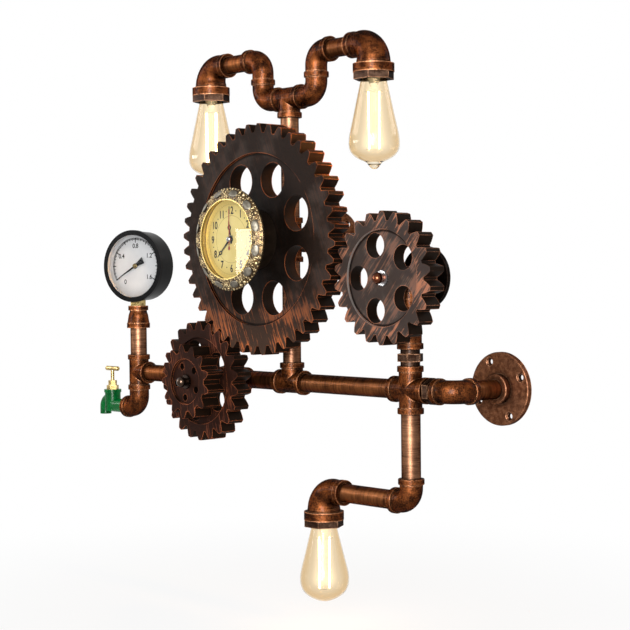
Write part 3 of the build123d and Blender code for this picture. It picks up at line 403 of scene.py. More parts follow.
dress(antique_fitting("antique_fitting", tone(22, 8, 3), tone(104, 57, 28), tone(200, 138, 98)),
      "plain_elbows", "bar_cross", "middle_tee", "compound_tee", "gauge_tee", "post_cross", "top_tee",
      "column_tee", "column_extension", "street_elbows", "lamp_elbows", "gauge_reducer")
dress(antique_fitting("antique_flange", tone(68, 40, 25), tone(122, 81, 57), tone(206, 154, 120),
                      blotch=5 * MM), "wall_flange", "post_flange")
# The blank flange sits in shade behind the right gear, and its near-black colour is painted shade.
dress(antique_fitting("painted_shade_flange", tone(14, 10, 8), tone(34, 26, 22), tone(70, 54, 46)),
      "column_blank_flange")
dress(antique_fitting("worn_bush", tone(30, 16, 9), tone(72, 54, 43), tone(156, 114, 86)),
      "lamp_bushes", "hex_nipples")

# %% [markdown]
# Pipe is drawn through a die and then spun while it is rubbed down, so its copper lies in fine rings. One
# noise that is very short along the pipe makes them. Each direction of pipe gets its own copy of the
# finish, with the rings across that direction.

# %% Pipes
pipe_black = tone(36, 16, 6)
along_wall, into_wall, upright = range(3)


def antique_pipe(name, axis, copper):
    coat = paint(name)
    ring_size = [20 * MM] * 3
    ring_size[axis] = 0.9 * MM
    rings = coat.cloud(ring_size)
    lumps, speck = coat.mottle(20 * MM), coat.mottle(0.8 * MM, detail=2)
    # Ambient occlusion: dirt in the corners, and painted shade there.
    dirt_and_shade = coat.hollows(8 * MM).ease(0.15, 0.65)
    colour = coat.mix((lumps * 0.5 + rings * 0.75 + speck * 0.3 - 0.3).ease(0.22, 0.72), pipe_black, copper)
    colour = coat.mix(dirt_and_shade * dirt_and_shade_cover, colour, dirt_and_shade_black)
    return coat.show(coat.principled(
        Base_Color=colour, Metallic=1.0, Roughness=0.33 + rings * 0.18, Specular_Tint=grazing_copper,
        Coat_Weight=0.05, Coat_Roughness=0.2, Normal=coat.bump(rings, 0.2 * MM, 0.5)))


dress(antique_pipe("antique_pipe_level", along_wall, tone(110, 67, 39)),
      "bar_pipe_right", "bar_pipe_middle", "bar_pipe_left", "drop_arm_pipe", "lamp_nipples")
dress(antique_pipe("antique_pipe_deep", into_wall, tone(110, 67, 39)), "wall_nipples")
dress(antique_pipe("antique_pipe_upright", upright, tone(118, 83, 61)),
      "post_pipe_lower", "post_pipe_upper", "drop_pipe", "gauge_riser")

# %% [markdown]
# ## Gears
# The gears are thick board, painted black-brown. Copper is dry-brushed over the front in slanting strokes
# and catches on the edges, while the tooth flanks and the walls of the holes stay nearly black. The
# strokes are long thin noise, turned to the slant that each gear has. The round recess in the big gear
# and in the right one has a wall of its own colour, pale grey as a painted sheen on the right gear, and a
# dark band of painted shade on the floor at its foot. The big gear is darkened round the clock, a painted
# shadow of the clock. Those are rings of distance from the hub, so they turn with the gear. The big gear
# is also painted lighter towards the bottom and in grey patches, as a painted sheen.

# %% Gear paint
# The last of these is the painted shadow of the clock on the big gear.
flank_black, flank_brown, clock_shadow_black = tone(14, 9, 6), tone(46, 31, 21), tone(9, 6, 4)


def gear_paint(name, slant, base, grey, copper, rim, share, low_level=None, hub=None, recess=0.0, wall=None,
               web_share=1.0, clock_shadow=0.0):
    """A share of brushed copper over a base.

    low_level keeps most strokes to the low part of the gear and paints the base lighter there, a painted
    sheen, and web_share thins them inside the recess. The grey patches are a painted sheen on the big gear.
    The recess wall colour is a painted sheen on the right gear, the dark band at the wall's foot is painted
    shade, and the last argument paints the clock's shadow round the hub.
    """
    coat = paint(name)
    streak = coat.cloud((1.9 * MM, 50 * MM, 34 * MM), turn=(0, math.radians(slant), 0), detail=4,
                        roughness=0.6)
    patch, speck = coat.mottle(30 * MM), coat.mottle(0.9 * MM, detail=2)
    brushed = (streak + patch * 0.7 + speck * 0.1 - 0.4).ease(0.60 - share, 0.74 - share)
    # Grey patches of random tone; on the big gear they are a painted sheen.
    base = coat.mix(patch.ease(0.42, 0.66) * 0.45, base, grey)
    side = coat.mix(speck * 0.7, flank_black, flank_brown)
    if low_level:
        low = 1 - coat.along((0, 0, 1)).ease(*low_level)
        brushed = brushed * (0.03 + 0.97 * low)
        # Painted sheen: the base is lighter towards the bottom.
        base = coat.mix(low * 0.7, base, tone(76, 57, 46))
    if recess:
        reach, deep = coat.distance(hub), coat.along((0, 1, 0)) - hub.y
        within = 1 - reach.ease(recess + 1 * MM, recess + 2 * MM)
        shallow = 1 - deep.ease(2.5 * MM, 3.5 * MM)
        # The recess wall gets the wall colour; the right gear's pale grey wall is a painted sheen.
        wall_band = reach.ease(recess - 1.2 * MM, recess - 0.2 * MM) * within * shallow
        # Painted shade: a dark band on the recess floor at the foot of its wall.
        foot_shade = reach.ease(recess - 3.5 * MM, recess - 2.0 * MM) * within * deep.ease(2.0 * MM, 2.8 * MM)
        brushed = brushed * (web_share + (1 - web_share) * reach.ease(recess, recess + 2 * MM))
        side = coat.mix(wall_band, side, wall)
    face = coat.mix(speck.ease(0.3, 0.7) * 0.018, base, copper)
    face = coat.mix(brushed, face, copper)
    if recess:
        face = coat.mix(foot_shade * 0.85, face, flank_black)
        # Painted shadow of the clock: darker near the big gear's hub.
        face = coat.mix((1 - reach.ease(60 * MM, 96 * MM)) * clock_shadow, face, clock_shadow_black)
    wear = coat.edges(1.2 * MM) * patch.ease(0.34, 0.58)
    # Ambient occlusion: dirt in the corners, and painted shade there.
    dirt_and_shade = coat.hollows(12 * MM).ease(0.3, 0.85)
    colour = coat.mix(coat.faces(front).ease(0.80, 0.95), side, face)
    colour = coat.mix(wear * 0.9, colour, rim)
    colour = coat.mix(dirt_and_shade * 0.75, colour, tone(8, 6, 5))
    return coat.show(coat.principled(
        Base_Color=colour, Metallic=0.0, Roughness=0.40 + speck * 0.2, Specular_IOR_Level=0.02,
        Normal=coat.bump(streak * 0.6 + speck, 0.4 * MM, 0.5)))


# The big gear's grey patches and lighter lower part are painted sheen; its darkening round the clock is a
# painted shadow.
dress(gear_paint("big_gear_paint", slant=-22, base=tone(29, 23, 19), grey=tone(68, 62, 58),
                 copper=tone(200, 110, 60), rim=tone(200, 112, 66), share=0.09,
                 low_level=(30 * MM, 120 * MM), hub=big_gear_hub, recess=99 * MM, wall=flank_black,
                 clock_shadow=0.8), "big_gear")
# The right gear's pale recess wall is a painted sheen.
dress(gear_paint("right_gear_paint", slant=40, base=tone(62, 53, 49), grey=tone(100, 91, 86),
                 copper=tone(176, 116, 88), rim=tone(220, 146, 110), share=0.09, hub=right_gear_hub,
                 recess=52 * MM, wall=tone(150, 141, 135), web_share=0.35), "right_gear")
dress(gear_paint("left_gear_paint", slant=-12, base=tone(40, 21, 14), grey=tone(56, 33, 25),
                 copper=tone(112, 60, 40), rim=tone(206, 116, 74), share=0.03), "left_gear", "pinion")

# %% [markdown]
# ## Bright metal
# The small turned pieces are bare steel, brass and plated nuts. They share one recipe: a metal with a
# little cloudiness in its gloss, pale edges, and dirt and painted shade in its corners. The nut and washer
# on the left axle are duller than those on the right, and one node holds both sides, so the change is a
# step along the wall between the two axles.

# %% Turned metal
dull_end, bright_end = -250 * MM, -150 * MM


def turned_metal(name, colour, shadow, roughness, edge, dull_left=None):
    metal = paint(name)
    smear = metal.cloud((6 * MM, 6 * MM, 2 * MM))
    wear = metal.edges(0.6 * MM)
    # Ambient occlusion: dirt in the corners, and painted shade there.
    dirt_and_shade = metal.hollows(6 * MM).ease(0.3, 0.9)
    shade = metal.mix(smear.ease(0.25, 0.75), shadow, colour)
    shade = metal.mix(wear * 0.6, shade, edge)
    shade = metal.mix(dirt_and_shade * 0.7, shade, tone(22, 16, 10))
    if dull_left:
        shade = metal.mix(metal.along((1, 0, 0)).ease(dull_end, bright_end), dull_left, shade)
    return metal.show(metal.principled(Base_Color=shade, Metallic=1.0, Roughness=roughness + smear * 0.12,
                                       Normal=metal.bump(smear, 0.2 * MM, 0.3)))


steel, steel_shadow, steel_edge = tone(196, 196, 198), tone(150, 148, 148), tone(236, 236, 238)
brass = turned_metal("brass", tone(190, 166, 110), tone(116, 94, 52), 0.22, tone(240, 222, 170))
dress(brass, "gauge_stem", "gauge_movement", "tap_bonnet", "tap_spindle", "tap_jumper")
dress(turned_metal("bare_steel", steel, steel_shadow, 0.28, steel_edge), "gear_axles", "hub_tube")
dress(turned_metal("washer_steel", steel, steel_shadow, 0.28, steel_edge, dull_left=tone(44, 34, 28)),
      "axle_washers")
dress(turned_metal("cap_metal", tone(236, 222, 190), tone(206, 186, 146), 0.3, tone(246, 236, 214)),
      "bulb_caps")
dress(turned_metal("copper_nut", tone(110, 62, 42), tone(62, 34, 22), 0.2, tone(190, 146, 122),
                   dull_left=tone(58, 46, 38)), "ball_nuts")

# %% [markdown]
# ## Enamel, ceramic and moulding
# The tap's green, the clock's cup, the gauge's case and the hands are enamel, and the holders, the leads
# and the movement are ceramic and moulded pieces. All of them are one even colour, a little cloudy, paler
# on worn edges and darker in corners with dirt and painted shade, so one recipe serves them with its own
# gloss for each. The gauge's case is pale inside, on the wall in front of its dial.

# %% Enamel
def enamel(name, colour, shadow, edge, roughness, gloss=0.06, well=None):
    """well is the centre, the outward direction and the radius of a pale inside."""
    coat = paint(name)
    smear = coat.mottle(12 * MM)
    wear = coat.edges(0.8 * MM)
    # Ambient occlusion: dirt in the corners, and painted shade there.
    dirt_and_shade = coat.hollows(6 * MM).ease(0.3, 0.9)
    shade = coat.mix(smear.ease(0.3, 0.7), shadow, colour)
    shade = coat.mix(wear * 0.45, shade, edge)
    shade = coat.mix(dirt_and_shade * 0.6, shade, tone(6, 8, 7))
    if well:
        shade = coat.mix(coat.inner_wall(*well), shade, tone(196, 196, 197))
    return coat.show(coat.principled(Base_Color=shade, Roughness=roughness, Specular_IOR_Level=gloss,
                                     Normal=coat.bump(smear, 0.3 * MM, 0.3)))


gauge_well = (gauge_centre + gauge_front * 6 * MM, gauge_front, 44 * MM)
dress(enamel("green_enamel", tone(0, 112, 48), tone(0, 82, 33), tone(40, 150, 90), 0.26, gloss=0.09),
      "tap_body")
dress(enamel("black_enamel", tone(36, 27, 20), tone(26, 19, 14), tone(58, 46, 36), 0.4), "clock_cup")
dress(enamel("gauge_enamel", tone(9, 9, 10), tone(5, 5, 6), tone(40, 40, 42), 0.3, gloss=0.07,
             well=gauge_well), "gauge_case")
dress(enamel("black_moulding", tone(30, 30, 31), tone(20, 20, 21), tone(60, 60, 62), 0.5), "clock_movement")
dress(enamel("lead_sheath", tone(52, 50, 48), tone(34, 33, 32), tone(80, 78, 76), 0.5), "mains_leads")
dress(enamel("holder_ceramic", tone(176, 158, 124), tone(140, 122, 92), tone(214, 200, 170), 0.35),
      "lamp_holders")
dress(enamel("black_hand", tone(14, 14, 15), tone(8, 8, 9), tone(50, 50, 52), 0.35),
      "hour_hand", "minute_hand", "gauge_pointer")
dress(enamel("red_hand", tone(206, 60, 40), tone(168, 36, 24), tone(236, 120, 96), 0.35), "second_hand")

# %% [markdown]
# ## Glass and light
# The bulbs have thin amber glass round long filaments. The model's glass has an inner and an outer wall,
# so a plain transmission shader bends light properly. Shadow rays and soft light go straight through it,
# because otherwise what is inside would be dark. Lit amber glass looks warm in its middle and deeper
# towards its outline, which a colour by facing gives, and a faint painted glow in the middle stands in
# for the filaments' light in the glass.

# %% Glass
def clear_glass(name, colour, deep, rim, glow, ior):
    glass = paint(name)
    facing = glass.node("ShaderNodeLayerWeight", {}, {"Blend": 0.5}, out="Facing")
    shade = glass.mix(facing.ease(0.05, 0.55), colour, deep)
    shade = glass.mix(facing.ease(0.72, 0.95), shade, rim)
    # Painted glow: the glass glows faintly in its middle, in place of the filaments' light.
    painted_glow = glass.mix(facing.ease(0.0, 0.16), glow, (0, 0, 0, 1))
    body = glass.principled(Base_Color=shade, Roughness=0.0, Transmission_Weight=1.0, IOR=ior,
                            Emission_Color=painted_glow, Emission_Strength=1.0)
    gap = glass.node("ShaderNodeBsdfTransparent", {}, {"Color": colour})
    through = glass.ray("Is Shadow Ray") + glass.ray("Is Diffuse Ray")
    return glass.show(glass.node("ShaderNodeMixShader", {}, {0: through, 1: body, 2: gap}))


dress(clear_glass("amber_glass", colour=(0.92, 0.83, 0.685, 1), deep=(0.85, 0.71, 0.51, 1),
                  rim=(0.80, 0.71, 0.58, 1), glow=(0.11, 0.095, 0.06, 1), ior=1.18), "bulb_glasses")
dress(clear_glass("clear_glass", colour=white, deep=white, rim=(0.97, 0.97, 0.96, 1), glow=(0, 0, 0, 1),
                  ior=1.2), "clock_lens", "gauge_lens")
dress(clear_glass("stem_glass", colour=(1, 0.98, 0.94, 1), deep=(0.98, 0.95, 0.9, 1),
                  rim=(0.97, 0.93, 0.86, 1), glow=(0.02, 0.014, 0.006, 1), ior=1.08), "bulb_stems")

# %% [markdown]
# The filaments glow by themselves, a little unevenly. A glowing thread lights its surroundings slowly and
# with much noise, so a small warm lamp in each bulb does that part, hidden from the camera and from every
# gloss.

# %% Filaments and bulb light
glowing = paint("filament")
heat = glowing.mottle(4 * MM, detail=1)
dress(glowing.show(glowing.principled(
    Base_Color=tone(90, 60, 30), Roughness=0.5,
    Emission_Color=glowing.mix(heat.ease(0.3, 0.7), (1, 0.62, 0.22, 1), (1, 0.82, 0.46, 1)),
    Emission_Strength=12.0)), "bulb_filaments")

for name, power, x, z in (("left_bulb_light", 1.6, -0.400084, 0.27),
                          ("right_bulb_light", 1.6, -0.116584, 0.27),
                          ("low_bulb_light", 0.4, -0.2035, -0.2)):
    lamp = bpy.data.lights.new(name, "POINT")
    lamp.energy, lamp.color, lamp.shadow_soft_size = power, (1.0, 0.66, 0.32), 20 * MM
    glow = bpy.data.objects.new(name, lamp)
    glow.visible_camera = glow.visible_glossy = glow.visible_transmission = False
    glow.location = (x, pipe_plane, z)
    bpy.context.collection.objects.link(glow)
    print(name, power, "W")

# %% [markdown]
# ## Dial cards
# The clock's dial is a cream card that is deeper in colour near its edge, and the gauge's is white with a
# painted grey shade near its wall. Both are nearly flat colours with a fine paper tooth. Their marks are
# separate thin meshes, as printing lies on a card, because a drawn texture would blur when it is seen
# close. The level of each card is in millimetres in front of its dial's centre, and so is every level
# further on.

# %% Dial cards
clock_face, gauge_face = 89.8, 4.0


def dial_card(name, middle_colour, outer_colour, centre, radius):
    card = paint(name)
    tooth, stain = card.mottle(0.6 * MM, detail=2), card.mottle(30 * MM, detail=2)
    # Towards outer_colour near the rim: deeper cream on the clock's card, painted shade on the gauge's.
    shade = card.mix((card.distance(centre) * (1 / radius)).ease(0.55, 1.02), middle_colour, outer_colour)
    shade = card.mix(stain.ease(0.3, 0.7) * 0.35, shade, outer_colour)
    return card.show(card.principled(Base_Color=shade, Roughness=0.55 + tooth * 0.1, Specular_IOR_Level=0.02,
                                     Normal=card.bump(tooth, 0.1 * MM, 0.25)))


clock_card_middle = clock_centre + front * clock_face * MM
gauge_card_middle = gauge_centre + gauge_front * gauge_face * MM
dress(dial_card("cream_dial", tone(232, 213, 140), tone(212, 186, 104), clock_card_middle, 46 * MM),
      "clock_dial")
dress(dial_card("white_dial", tone(226, 226, 226), tone(190, 191, 193), gauge_card_middle, 42 * MM),
      "gauge_dial")

# %% [markdown]
# ## Bezel metal
# The bezel is a casting in a gold colour, stained nearly black between its forms, with painted shade
# added there, and rubbed bright on top. Its ground, its beads and curls, and its pewter ovals differ only
# in colour and gloss. The ground also has a bright turned lip and a bright wall down to the dial, which
# are picked out by their distance from the middle of the well.

# %% Bezel metal
well_level = 94.3
well_middle = clock_centre + front * well_level * MM
well_radius, lip_inner, lip_outer = 49.5 * MM, 45.2 * MM, 46.0 * MM


def relief_gold(name, high, low, roughness, wall=None):
    cast = paint(name)
    lumps, speck = cast.mottle(4 * MM), cast.mottle(0.7 * MM, detail=2)
    wear = cast.edges(0.5 * MM)
    # Ambient occlusion: stain between the forms, and painted shade there.
    dirt_and_shade = cast.hollows(3 * MM).ease(0.10, 0.44)
    colour = cast.mix(lumps.ease(0.3, 0.7), low, high)
    if wall:
        colour = cast.mix(cast.inner_wall(well_middle, front, well_radius) * 0.8, colour, wall)
        colour = cast.mix(1 - cast.distance(well_middle).ease(lip_inner, lip_outer), colour, wall)
    colour = cast.mix(wear * 0.5, colour, tone(246, 226, 176))
    colour = cast.mix(dirt_and_shade * 0.92, colour, tone(16, 12, 8))
    return cast.show(cast.principled(Base_Color=colour, Metallic=0.8, Roughness=roughness + speck * 0.2,
                                     Normal=cast.bump(speck, 0.2 * MM, 0.4)))


gold = relief_gold("antique_gold", tone(184, 164, 122), tone(100, 80, 48), 0.3)
pewter = relief_gold("pewter", tone(108, 103, 93), tone(78, 72, 61), 0.42)
dress(relief_gold("bezel_ground", tone(96, 72, 40), tone(30, 22, 14), 0.3, wall=tone(198, 172, 100)),
      "clock_bezel")
print("nodes without a finish:", sorted(undressed))

# %% [markdown]
# ## Marks on the dials
# A dial's place is a centre, a direction to the right and a direction out of it, so one small class turns
# millimetres on the card into points of the model. A finished mesh becomes a piece by riding on a body.

# %% Places on a dial
class Card:
    """A flat face with its centre and its right, up and outward directions."""

    def __init__(self, centre, right, out):
        self.centre, self.right, self.out = centre, right, out
        self.up = out.cross(right)

    def matrix(self, level):
        """From millimetres on the card, at a level in front of its centre, to the model."""
        turn = Matrix((self.right, self.up, self.out)).transposed().to_4x4()
        return Matrix.Translation(self.centre + self.out * level * MM) @ turn @ Matrix.Scale(MM, 4)


def round_point(radius, degrees, level=0.0):
    turn = math.radians(degrees)
    return Vector((radius * math.cos(turn), radius * math.sin(turn), level))


def add_piece(name, shape, body, slot, *finishes):
    """A finished mesh becomes a piece that rides on a body."""
    bmesh.ops.recalc_face_normals(shape, faces=shape.faces[:])
    mesh = bpy.data.meshes.new(name)
    shape.to_mesh(mesh)
    shape.free()
    for finish in finishes:
        mesh.materials.append(finish)
    piece = bpy.data.objects.new(name, mesh)
    bpy.context.collection.objects.link(piece)
    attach(piece, body)
    print(name, len(mesh.polygons), "faces")
    return piece


clock = Card(clock_centre, Vector((1, 0, 0)), front)
gauge = Card(gauge_centre, Vector((math.cos(gauge_turn), math.sin(gauge_turn), 0)), gauge_front)
print("cards face", [round(c, 2) for c in clock.out], "and", [round(c, 2) for c in gauge.out])

# %% [markdown]
# Numbers are Blender's own lettering, made bolder by an offset of its outline, turned into mesh and set
# to an exact height. Lines are flat bars, and rings are one band of faces, so that each mark is a closed
# thin solid.

# %% Numbers, bars and arcs
ink_lift, ink_thickness = 0.02, 0.06
stroke_offset, stroke_depth = 0.022, 0.02


def mesh_of(curve):
    """A curve or a lettering as a mesh."""
    holder = bpy.data.objects.new(curve.name, curve)
    bpy.context.collection.objects.link(holder)
    bpy.context.view_layer.update()
    made = bpy.data.meshes.new_from_object(holder.evaluated_get(bpy.context.evaluated_depsgraph_get()))
    bpy.data.objects.remove(holder)
    return made


def add_number(shape, card, level, text, height, narrow, radius, angle):
    lettering = bpy.data.curves.new("number", "FONT")
    lettering.body, lettering.extrude, lettering.offset = text, stroke_depth, stroke_offset
    flat = mesh_of(lettering)
    spans = [[point.co[axis] for point in flat.vertices] for axis in (0, 1)]
    middle_u, middle_v = ((max(span) + min(span)) / 2 for span in spans)
    scale = height / (max(spans[1]) - min(spans[1]))
    flat.transform(card.matrix(level) @ Matrix.Translation(round_point(radius, angle))
                   @ Matrix.Diagonal((scale * narrow, scale, 1, 1))
                   @ Matrix.Translation((-middle_u, -middle_v, 0)))
    shape.from_mesh(flat)
    bpy.data.meshes.remove(flat)


def add_bar(shape, card, level, angle, inner, outer, width, thickness=ink_thickness):
    """A short line that points away from the card's centre."""
    corners = [(inner, -width / 2), (outer, -width / 2), (outer, width / 2), (inner, width / 2)]
    turn = Matrix.Rotation(math.radians(angle), 4, "Z")
    made = [[shape.verts.new(card.matrix(level + lift) @ (turn @ Vector((u, v, 0)))) for u, v in corners]
            for lift in (0, thickness)]
    shape.faces.new(made[0])
    shape.faces.new(made[1])
    for here in range(4):
        after = (here + 1) % 4
        shape.faces.new((made[0][here], made[0][after], made[1][after], made[1][here]))


def add_arc(shape, card, level, inner, outer, start=0, sweep=360, count=120):
    """A printed line round the card's centre, closed when it sweeps the whole way."""
    closed = abs(sweep) == 360
    profile = ((inner, 0), (outer, 0), (outer, ink_thickness), (inner, ink_thickness))
    cuts = [[shape.verts.new(card.matrix(level + lift) @ round_point(radius, start + sweep * step / count))
             for radius, lift in profile] for step in range(count if closed else count + 1)]
    for here, after in zip(cuts, cuts[1:] + cuts[:1] if closed else cuts[1:]):
        for side in range(4):
            beyond = (side + 1) % 4
            shape.faces.new((here[side], here[beyond], after[beyond], after[side]))
    if not closed:
        shape.faces.new(cuts[0])
        shape.faces.new(cuts[-1])


ink = enamel("printed_ink", tone(26, 22, 18), tone(14, 12, 10), tone(44, 40, 34), 0.5)
faint_ink = enamel("faint_ink", tone(176, 148, 74), tone(150, 124, 60), tone(196, 170, 96), 0.5)
print("inks", ink.name, faint_ink.name)

# %% [markdown]
# ## Clock marks
# The clock has upright numbers, a dot half way between each two, a fine ring inside them, and a minute
# track outside them in a brown that is only a little darker than the card.

# %% Clock marks
dial_level = clock_face + ink_lift
number_radius, number_height, number_width = 32.8, 8.8, 0.84

numbers = bmesh.new()
for hour in range(1, 13):
    add_number(numbers, clock, dial_level, str(hour), number_height, number_width, number_radius,
               90 - 30 * hour)
add_piece("clock_numbers", numbers, "frame", "black_hand", ink)

dots = bmesh.new()
for half in range(12):
    add_bar(dots, clock, dial_level, 75 - 30 * half, inner=32.2, outer=33.5, width=1.3)
add_piece("clock_dots", dots, "frame", "black_hand", ink)

track = bmesh.new()
for minute in range(60):
    add_bar(track, clock, dial_level, 6 * minute, inner=40.4, outer=41.6 if minute % 5 else 42.2, width=0.35)
add_arc(track, clock, dial_level, inner=26.4, outer=26.8)
add_arc(track, clock, dial_level, inner=39.45, outer=39.75)
add_piece("clock_track", track, "frame", "cream_dial", faint_ink)

# %% [markdown]
# ## Clock hands
# The hour and minute hands have a loop near the tip, and the thin red second hand has a drop on its tail.
# Each is a flat outline with holes. Cutting holes in a solid would leave rough edges, so a filled
# two-dimensional curve makes the plate in one go, and it is then turned into mesh on its level.

# %% Plates and outlines
def add_plate(shape, card, level, angle, outlines, thickness):
    """Filled outlines, some of them holes, as a thin plate."""
    drawing = bpy.data.curves.new("plate", "CURVE")
    drawing.dimensions, drawing.fill_mode, drawing.extrude = "2D", "BOTH", thickness / 2
    for outline in outlines:
        line = drawing.splines.new("POLY")
        line.points.add(len(outline) - 1)
        line.use_cyclic_u = True
        for point, (u, v) in zip(line.points, outline):
            point.co = (u, v, 0, 1)
    flat = mesh_of(drawing)
    flat.transform(card.matrix(level) @ Matrix.Rotation(math.radians(angle), 4, "Z"))
    shape.from_mesh(flat)
    bpy.data.meshes.remove(flat)


def bow(along, radius, turns):
    """Points on part of a circle whose centre lies along a hand."""
    steps = [math.radians(turn) for turn in turns]
    return [(along + radius * math.cos(step), radius * math.sin(step)) for step in steps]


def hole(along, radius, count=28):
    return bow(along, radius, [360 * step / count for step in range(count)])


def looped_hand(length, loop_at, loop_radius, width, boss, tail):
    """Outline of a hand with a round loop before its tip."""
    rise = [(-tail, width * 0.6)]
    rise += bow(0, boss, range(150, 20, -10))
    rise += [(loop_at - loop_radius * 1.3, width * 0.5)]
    rise += bow(loop_at, loop_radius, range(155, 20, -10))
    rise += [(loop_at + loop_radius * 1.5, width * 0.45), (length, 0.12)]
    return rise + [(u, -v) for u, v in reversed(rise)]


tail_drop = [(-7.0, 0.25), (-8.2, 0.6), (-9.6, 1.35), (-11.0, 1.5), (-12.0, 0.9), (-12.6, 0), (-12.0, -0.9),
             (-11.0, -1.5), (-9.6, -1.35), (-8.2, -0.6), (-7.0, -0.25), (-2.4, -0.3)]
second_outline = tail_drop + bow(0, 2.4, range(-165, 166, 15)) + [(-2.4, 0.3)]
print("second hand outline", len(second_outline), "points")

# %% [markdown]
# Each hand stands for the plain hand of the model, on the same level and at the same angle, and rides on
# that hand's body.

# %% Hands
hand_thickness = 0.6
arbor_hole = hole(0, 1.56)
hour_outline = looped_hand(length=20.5, loop_at=13.5, loop_radius=2.7, width=1.3, boss=3.0, tail=5.0)
minute_outline = looped_hand(length=30.0, loop_at=22.5, loop_radius=2.4, width=1.0, boss=2.8, tail=6.0)
hour_plate = [hour_outline, hole(13.5, 1.5), arbor_hole]
minute_plate = [minute_outline, hole(22.5, 1.4), arbor_hole]
for name, level, angle, outlines, slot in (
        ("hour_hand", 90.425, 100.5, hour_plate, "black_hand"),
        ("minute_hand", 91.675, 222.0, minute_plate, "black_hand"),
        ("second_hand", 92.925, 90.0, [second_outline, arbor_hole], "red_hand")):
    plate = bmesh.new()
    add_plate(plate, clock, level + hand_thickness / 2, angle, outlines, hand_thickness)
    if name == "second_hand":
        add_bar(plate, clock, level, angle, inner=1.6, outer=34.0, width=0.55, thickness=hand_thickness)
    hand = add_piece(name + "_plate", plate, name, slot, nodes[name].data.materials[0])
    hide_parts(name)

# %% [markdown]
# A small silver boss covers the end of the arbor. It is a turned piece, so a profile is spun round the
# clock's axis. It turns with the second hand and rides on that body.

# %% Boss
def add_turned(shape, card, profile, count=40):
    """A profile of (radius, level) pairs turned about the card's own axis."""
    rows = [[shape.verts.new(card.matrix(level) @ round_point(radius, 360 * step / count))
             for step in range(count)] for radius, level in profile]
    for lower, upper in zip(rows, rows[1:]):
        for here in range(count):
            after = (here + 1) % count
            shape.faces.new((lower[here], lower[after], upper[after], upper[here]))
    shape.faces.new(rows[0])
    shape.faces.new(rows[-1])


boss = bmesh.new()
add_turned(boss, clock, [(2.6, 93.55), (2.9, 93.9), (2.9, 94.9), (2.5, 95.3), (0.6, 95.4)])
silver = turned_metal("silver_boss", tone(206, 206, 204), tone(150, 150, 150), 0.2, tone(244, 244, 244))
add_piece("hand_boss", boss, "second_hand", "steel", silver)

# %% [markdown]
# ## Relief on the bezel
# The bezel is a cast ring of smooth ovals with rosettes of beads and curls between them, gold over black.
# A sculpted height map would need a very fine mesh, so each form is a small closed mesh that sits half
# sunk in the ring. The ring's front is flat inside and slopes back to its rim, and every form follows
# that slope.

# %% Beads
ring_flat, ring_outer, ring_top, ring_edge = 51.85, 57.6, 98.8, 92.8
ring_lean = math.atan2(ring_top - ring_edge, ring_outer - ring_flat) * 0.8


def ring_level(radius):
    """Height of the bezel's front at a radius."""
    if radius <= ring_flat:
        return ring_top
    return ring_top - (radius - ring_flat) / (ring_outer - ring_flat) * (ring_top - ring_edge)


def add_bead(shape, angle, radius, size, flatten, material=0, long=1.0, wide=1.0, detail=2):
    """A flattened ball. long stretches it round the ring and wide stretches it across."""
    lean = 0.0 if radius <= ring_flat else ring_lean
    turn = Matrix.Rotation(math.radians(angle), 4, "Z") @ Matrix.Rotation(lean, 4, "Y")
    shaped = Matrix.Diagonal((size * wide, size * long, size * flatten, 1))
    seat = clock.matrix(ring_level(radius)) @ Matrix.Translation(round_point(radius, angle))
    made = bmesh.ops.create_icosphere(shape, subdivisions=detail, radius=1.0, matrix=seat @ turn @ shaped)
    for face in {face for vert in made["verts"] for face in vert.link_faces}:
        face.material_index = material
        face.smooth = True


print("the bezel's front leans by", round(math.degrees(ring_lean), 1), "degrees")

# %% [markdown]
# A curl is a short wire that winds inwards and gets thinner, so it is a tube of six sides along nine
# points of a spiral.

# %% Curls
curl_steps, curl_sides, curl_lift = 8, 6, 0.25


def add_curl(shape, angle, radius, size, start, sweep, thick):
    """A wire that starts at a turn round its own centre, sweeps on from there and tapers."""
    path = []
    for step in range(curl_steps + 1):
        turn = math.radians(start + sweep * step / curl_steps)
        grow = size * (1.0 - 0.5 * step / curl_steps)
        r = radius + grow * math.cos(turn)
        aside = math.degrees(grow * math.sin(turn) / radius)
        path.append(round_point(r, angle + aside, ring_level(r) + curl_lift))
    rings = []
    for here, point in enumerate(path):
        onward = path[min(here + 1, curl_steps)] - path[max(here - 1, 0)]
        side = onward.cross(Vector((0, 0, 1))).normalized()
        lift = side.cross(onward).normalized()
        width = thick * (1.0 - 0.35 * here / curl_steps)
        turns = [2 * math.pi * corner / curl_sides for corner in range(curl_sides)]
        spokes = [side * math.cos(turn) + lift * math.sin(turn) for turn in turns]
        rings.append([shape.verts.new(clock.matrix(0) @ (point + spoke * width)) for spoke in spokes])
    for lower, upper in zip(rings, rings[1:]):
        for here in range(curl_sides):
            after = (here + 1) % curl_sides
            shape.faces.new((lower[here], lower[after], upper[after], upper[here])).smooth = True
    shape.faces.new(rings[0])
    shape.faces.new(rings[-1])


print("a curl has", curl_steps * curl_sides + 2, "faces")

# %% [markdown]
# The motif is repeated at each hour: a rosette of a bead and six petals with a large bead outside it,
# curls and small beads on both sides, and a pewter oval half way to the next hour. A row of small beads
# runs round inside, and one of larger beads round the rim. The rows are cast by hand, so their sizes vary
# a little.

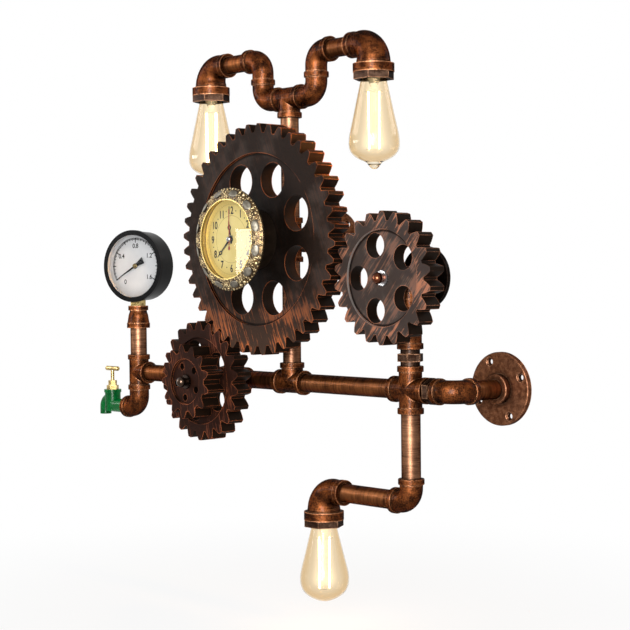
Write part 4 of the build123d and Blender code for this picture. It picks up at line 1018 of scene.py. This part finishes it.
# %% Bezel relief
rosette_radius, petal_reach = 50.6, 2.3
inner_beads, rim_beads = 96, 72
relief = bmesh.new()
chance = random.Random(11)
for motif in range(12):
    hour = 30 * motif
    add_bead(relief, hour, radius=55.6, size=2.1, flatten=0.8)
    add_bead(relief, hour, radius=rosette_radius, size=1.3, flatten=0.9)
    for petal in range(6):
        turn = math.radians(60 * petal)
        r = rosette_radius + petal_reach * math.cos(turn)
        aside = math.degrees(petal_reach * math.sin(turn) / r)
        add_bead(relief, hour + aside, radius=r, size=1.15, flatten=0.8)
    add_bead(relief, hour + 15, radius=52.4, size=1.0, flatten=1.1, material=1, long=6.6, wide=4.2, detail=3)
    for side in (-1, 1):
        add_curl(relief, hour + side * 5.4, radius=54.2, size=2.1, start=0, sweep=side * 300, thick=0.62)
        add_curl(relief, hour + side * 5.2, radius=47.8, size=1.7, start=180, sweep=side * 300, thick=0.55)
        add_curl(relief, hour + side * 8.2, radius=51.6, size=1.5, start=90, sweep=-side * 280, thick=0.5)
        add_bead(relief, hour + side * 8.4, radius=55.9, size=1.15, flatten=0.8)
        add_bead(relief, hour + side * 10.4, radius=47.9, size=0.95, flatten=0.8)
        add_bead(relief, hour + side * 3.4, radius=53.2, size=0.9, flatten=0.8)
for bead in range(inner_beads):
    size = 0.85 + chance.uniform(-0.08, 0.08)
    add_bead(relief, 360 * bead / inner_beads, radius=46.1, size=size, flatten=0.8, detail=1)
for bead in range(rim_beads):
    size = 1.25 + chance.uniform(-0.15, 0.15)
    add_bead(relief, 360 * (bead + 0.5) / rim_beads, radius=57.2, size=size, flatten=0.8, detail=1)
add_piece("bezel_relief", relief, "frame", "antique_gold", gold, pewter)

# %% [markdown]
# ## Gauge marks
# The gauge reads from 0 to 1.6 over 240 degrees. It has a fine mark at each hundredth, a heavier one at
# each twentieth, longer ones at each fifth and each four tenths, and a thin line along their outer ends.
# The marks and numbers are built as the clock's are.

# %% Gauge scale
gauge_level = gauge_face + ink_lift
zero_angle, full_sweep, scale_radius = 210, 240, 36.8
twentieths, hundredths = 32, 160

scale = bmesh.new()
for step in range(twentieths + 1):
    length = 6.0 if step % 8 == 0 else 4.6 if step % 4 == 0 else 3.2
    add_bar(scale, gauge, gauge_level, zero_angle - full_sweep * step / twentieths,
            inner=scale_radius - length, outer=scale_radius, width=1.2 if step % 4 == 0 else 0.8)
for step in range(hundredths + 1):
    if step % 5:
        add_bar(scale, gauge, gauge_level, zero_angle - full_sweep * step / hundredths,
                inner=34.4, outer=scale_radius, width=0.5)
add_arc(scale, gauge, gauge_level, scale_radius, 37.2, start=zero_angle, sweep=-full_sweep)
add_piece("gauge_scale", scale, "frame", "black_hand", ink)

numbers = bmesh.new()
for text, degrees in (("0", 230), ("0.4", 150), ("0.8", 90), ("1.2", 31), ("1.6", 328)):
    add_number(numbers, gauge, gauge_level, text, height=6.2, narrow=0.95, radius=26.6, angle=degrees)
add_piece("gauge_numbers", numbers, "frame", "black_hand", ink)

# %% [markdown]
# A brass cap holds the pointer on its arbor. It is turned as the clock's boss is, and rides on the
# pointer.

# %% Pointer cap
hub = bmesh.new()
add_turned(hub, gauge, [(3.4, 5.9), (3.4, 6.3), (2.6, 6.7), (0.6, 6.9)])
add_piece("gauge_hub", hub, "gauge_pointer", "brass", brass)

# %% [markdown]
# ## Sizes
# Dressing must not change the object's size. The box of the model is printed when it is loaded.
